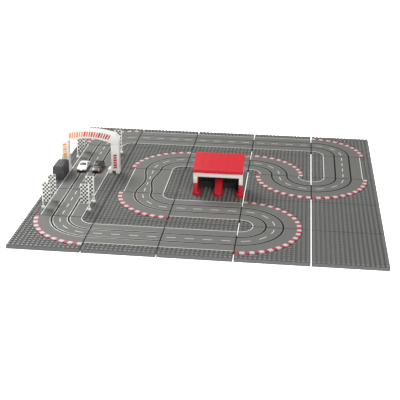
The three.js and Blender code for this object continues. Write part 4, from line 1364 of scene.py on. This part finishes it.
    def shell(self) -> None:
        """Builds the body: a thin shell with arches, windows, bumpers, stripes, lamps and a tail lip."""
        shape = self.hull()
        faces = list(shape.bm.faces)
        opened = [
            f for f in faces
            if (f.normal.z < -0.9 and f.calc_center_median().z < self.sill + 0.05 * MM)
            or (abs(f.normal.x) < 0.5 and all(self.in_arch(v.co) for v in f.verts)) or self.is_glass(f)]
        bmesh.ops.delete(shape.bm, geom=opened, context="FACES")
        for face in shape.bm.faces:
            middle = face.calc_center_median()
            front, top, stripe = self.grille
            end = middle.y < 0 or middle.y > self.tail[0]
            low_down = middle.z < self.bumper_top and (end or abs(face.normal.x) > 0.5)
            lip = middle.y < front and middle.z < top and abs(middle.x) > stripe
            if low_down or lip:
                shape.paint([face], self.livery.bumper)
            elif abs(middle.x) < stripe and face.normal.z > 0.3:
                shape.paint([face], self.livery.stripe)
        for vert in shape.bm.verts:
            vert.co = self.form(vert.co)
        shape.face_out()
        bmesh.ops.solidify(shape.bm, geom=list(shape.bm.faces), thickness=self.wall)
        for side in (-1, 1):
            self.details(shape, side)
        shape.box(mm(-8.4, 35.3, 9.0), mm(8.4, 37.3, 10.9), 0.4 * MM, Finish.BLACK)
        shape.box(mm(-5.0, 37.0, 3.0), mm(5.0, 37.5, 5.4), 0.15 * MM, Finish.BLACK)
        shape.box(mm(-4.2, -8.5, 2.2), mm(4.2, -7.9, 4.0), 0.15 * MM, Finish.BLACK)
        self.put(shape)
        shape.finish(
            f"{self.name}_body_look", self.name, self.livery.slot, [f"{self.name}_body"], smooth=40.0)

    def details(self, shape: Shape, side: int) -> None:
        """Adds one side's lamps, mirror and exhaust."""
        shape.rod(
            (side * 6.0 * MM, -5.4 * MM, 5.2 * MM), (side * 6.2 * MM, -7.6 * MM, 4.9 * MM), 1.05 * MM, 16,
            0.25 * MM, Finish.LAMP)
        low, high = sorted((side * 6.0 * MM, side * 8.4 * MM))
        shape.box((low, 36.9 * MM, 6.6 * MM), (high, 37.5 * MM, 8.2 * MM), 0.2 * MM, Finish.SCARLET)
        low, high = sorted((side * 8.3 * MM, side * 9.7 * MM))
        shape.box((low, 12.2 * MM, 9.2 * MM), (high, 13.4 * MM, 10.2 * MM), 0.35 * MM, self.livery.bumper)
        shape.rod(
            mm(side * 3.4, 36.4, 2.6), mm(side * 3.4, 37.5, 2.6), 0.6 * MM, 12, 0.1 * MM,
            Finish.SILVER_PAINT)

    def cabin(self) -> None:
        """Builds the tinted cabin moulding, which shows through the openings in the shell."""
        inset = 0.35 * MM
        outline = [
            mm(32, 8.9), mm(31.6, 9.9), mm(28.4, 11.1), mm(24.4, 12.2),
            mm(20, 12.4), mm(16.3, 12.2), mm(12.7, 10.2), mm(10.6, 8.9)]
        shape = Shape([Finish.GLAZING])
        reach = self.half - inset
        shape.prism(outline, "X", -reach, reach, 0.9 * MM, segments=3)
        for place in self.cuts_x:
            shape.cut(Vector((place, 0, 0)), Vector((1, 0, 0)))
        for vert in shape.bm.verts:
            vert.co = self.form(vert.co)
        shape.face_out()
        self.put(shape)
        node = f"{self.name}_glazing"
        shape.finish(f"{node}_look", self.name, "tinted_glazing", [node], smooth=50.0)

    def wheels(self, wheel: WheelSet) -> None:
        """Builds two wheels with tyres and spoked hubs on their axle, and the crown gear of the rear pair."""
        centre = Vector((0, wheel.behind, wheel.height))
        radius, width = wheel.radius, wheel.width
        shape = Shape([Finish.TYRE])
        for side in (-1, 1):
            outer = side * self.tyre_edge
            inner = outer - side * width
            rim = radius * 0.64
            step = side * MM
            profile = [
                (inner, 0), (inner, radius * 0.5), (inner, radius * 0.9), (inner + 0.4 * step, radius),
                (outer - 0.45 * step, radius), (outer - 0.1 * step, radius * 0.94), (outer, radius * 0.85),
                (outer, rim + 0.15 * MM), (outer - 0.15 * step, rim), (outer - 0.9 * step, rim * 0.9),
                (outer - 0.9 * step, 0)]
            shape.lathe(profile, centre, "X", 36)
            for face in shape.bm.faces:
                middle = face.calc_center_median() - centre
                if math.hypot(middle.y, middle.z) < rim + 0.01 * MM and middle.x * side > 0:
                    shape.paint([face], Finish.SILVER_PAINT)
            shape.rod(
                centre + Vector((outer - 1.0 * step, 0, 0)), centre + Vector((outer - 0.15 * step, 0, 0)),
                0.8 * MM, 14, 0.15 * MM, Finish.SILVER_PAINT)
            for i in range(self.spokes):
                low, high = sorted((outer - 1.0 * step, outer - 0.3 * step))
                spoke = shape.box(
                    (low, wheel.behind - 0.3 * MM, wheel.height + 0.5 * MM),
                    (high, wheel.behind + 0.3 * MM, wheel.height + rim * 0.97), 0.1 * MM, Finish.SILVER_PAINT)
                turn = Matrix.Rotation(math.tau * i / self.spokes, 3, "X")
                bmesh.ops.rotate(shape.bm, cent=centre, matrix=turn, verts=spoke)
        reach = Vector((self.tyre_edge - width / 2, 0, 0))
        shape.rod(centre - reach, centre + reach, self.axle, 16, 0.0, Finish.STEEL)
        if wheel is self.rear:
            self.gear(shape, centre)
        self.put(shape)
        node = f"{self.name}_{wheel.name}_axle_and_wheels"
        shape.finish(f"{node}_look", f"{self.name}_{wheel.name}_axle", "tyre_rubber", [node])

    def gear(self, shape: Shape, centre: Vector) -> None:
        """Adds the crown gear, with teeth round its rim."""
        near, far, radius = self.crown
        outline = []
        for i in range(self.teeth * 4):
            reach = radius if i % 4 in (0, 1) else radius - 0.45 * MM
            turn = math.tau * i / (self.teeth * 4)
            outline.append((centre.y + reach * math.cos(turn), centre.z + reach * math.sin(turn)))
        shape.prism(outline, "X", near, far, 0.0, Finish.WHITE)

    def brushes(self) -> None:
        """Builds the two copper braids under the guide, which sweep back along the rails."""
        shape = Shape([Finish.COPPER])
        for side in (-1, 1):
            low, high = sorted((side * 1.3 * MM, side * 2.5 * MM))
            outline = [
                mm(-2.6, 0.75), mm(-1.4, 0.8), mm(1.6, 0.5), mm(4.2, 0.32),
                mm(4.2, 0.2), mm(1.6, 0.24), mm(-1.4, 0.5), mm(-2.6, 0.5)]
            shape.prism(outline, "X", low, high, 0.05 * MM, segments=1)
        self.put(shape)
        shape.finish(f"{self.name}_brushes_look", f"{self.name}_guide", "motor_steel")


# ---------------------------------------------------------------- the scene round the set
@dataclass
class Studio:
    """The pale floor, the soft lights and the camera."""

    eye: tuple[float, float, float] = (0.1547, -1.6713, 0.6813)
    yaw: float = -6.17
    pitch: float = 22.89
    roll: float = 0.64
    lens: float = 81.37
    sensor: float = 36.0
    glow: float = 1.4
    room: float = 0.32

    def build(self) -> None:
        """Builds it all."""
        self.camera()
        self.floor()
        self.lights()

    def camera(self) -> None:
        """Places the camera."""
        data = bpy.data.cameras.new("camera")
        data.lens, data.sensor_width = self.lens, self.sensor
        data.clip_start, data.clip_end = 0.05, 20.0
        made = bpy.data.objects.new("camera", data)
        bpy.context.scene.collection.objects.link(made)
        yaw, pitch = math.radians(self.yaw), math.radians(self.pitch)
        ahead = Vector((math.sin(yaw) * math.cos(pitch), math.cos(yaw) * math.cos(pitch), -math.sin(pitch)))
        turn = ahead.to_track_quat("-Z", "Y").to_matrix() @ Matrix.Rotation(math.radians(self.roll), 3, "Z")
        made.matrix_world = Matrix.Translation(self.eye) @ turn.to_4x4()
        bpy.context.scene.camera = made

    def floor(self) -> None:
        """Makes the pale floor."""
        bm = bmesh.new()
        bmesh.ops.create_grid(bm, x_segments=1, y_segments=1, size=12.0)
        mesh = bpy.data.meshes.new("floor")
        bm.to_mesh(mesh)
        bm.free()
        paper = Recipe("floor_paper")
        paper.surface(Base_Color=(0.9, 0.9, 0.9, 1.0), Roughness=0.9, Emission_Color=(1.0, 1.0, 1.0, 1.0),
                      Emission_Strength=self.glow)
        mesh.materials.append(paper.material)
        made = bpy.data.objects.new("floor", mesh)
        made.location.z = CAD_LOW.z - 0.05 * MM
        bpy.context.scene.collection.objects.link(made)
        made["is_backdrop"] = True

    def lights(self) -> None:
        """Makes a bright even room and two large soft lamps."""
        world = bpy.data.worlds.new("room")
        world.use_nodes = True
        tree = world.node_tree
        background = tree.nodes["Background"]
        background.inputs["Color"].default_value = (1.0, 1.0, 1.0, 1.0)
        seen = tree.nodes.new("ShaderNodeLightPath")
        strength = tree.nodes.new("ShaderNodeMapRange")
        strength.inputs["To Min"].default_value = self.room
        strength.inputs["To Max"].default_value = 1.0
        tree.links.new(seen.outputs["Is Camera Ray"], strength.inputs["Value"])
        tree.links.new(strength.outputs["Result"], background.inputs["Strength"])
        bpy.context.scene.world = world
        bpy.context.scene.view_settings.view_transform = "Standard"
        for name, place, size, power in (
            ("key", (-1.35, 1.35, 1.9), 1.3, 70.0), ("fill", (0.9, -2.0, 1.5), 1.4, 38.0),
        ):
            data = bpy.data.lights.new(name, "AREA")
            data.size, data.energy = size, power
            made = bpy.data.objects.new(name, data)
            made.location = place
            made.rotation_mode = "QUATERNION"
            made.rotation_quaternion = (-Vector(place)).to_track_quat("-Z", "Y")
            bpy.context.scene.collection.objects.link(made)


def main() -> None:
    """Builds the studio and every sub-assembly in order."""
    logging.basicConfig(level=logging.INFO, format="%(message)s")
    Studio().build()
    avoid = stand_places()
    for spot in circuit():
        Tile(spot, avoid).build()
    StartArch().build()
    for name in frame["nodes"]:
        if "banner" in name:
            Banner(name).build()
    PowerTerminal().build()
    PitBuilding().build()
    for name, body, stripe in (
        ("white", Finish.WHITE_PAINT, Finish.WHITE_PAINT),
        ("dark", Finish.CHARCOAL_PAINT, Finish.SMOKE_PAINT),
    ):
        Car(f"{name}_car", Livery(body, Finish.MAROON_PAINT, stripe, body.value.name)).build()


if __name__ == "__main__":
    main()
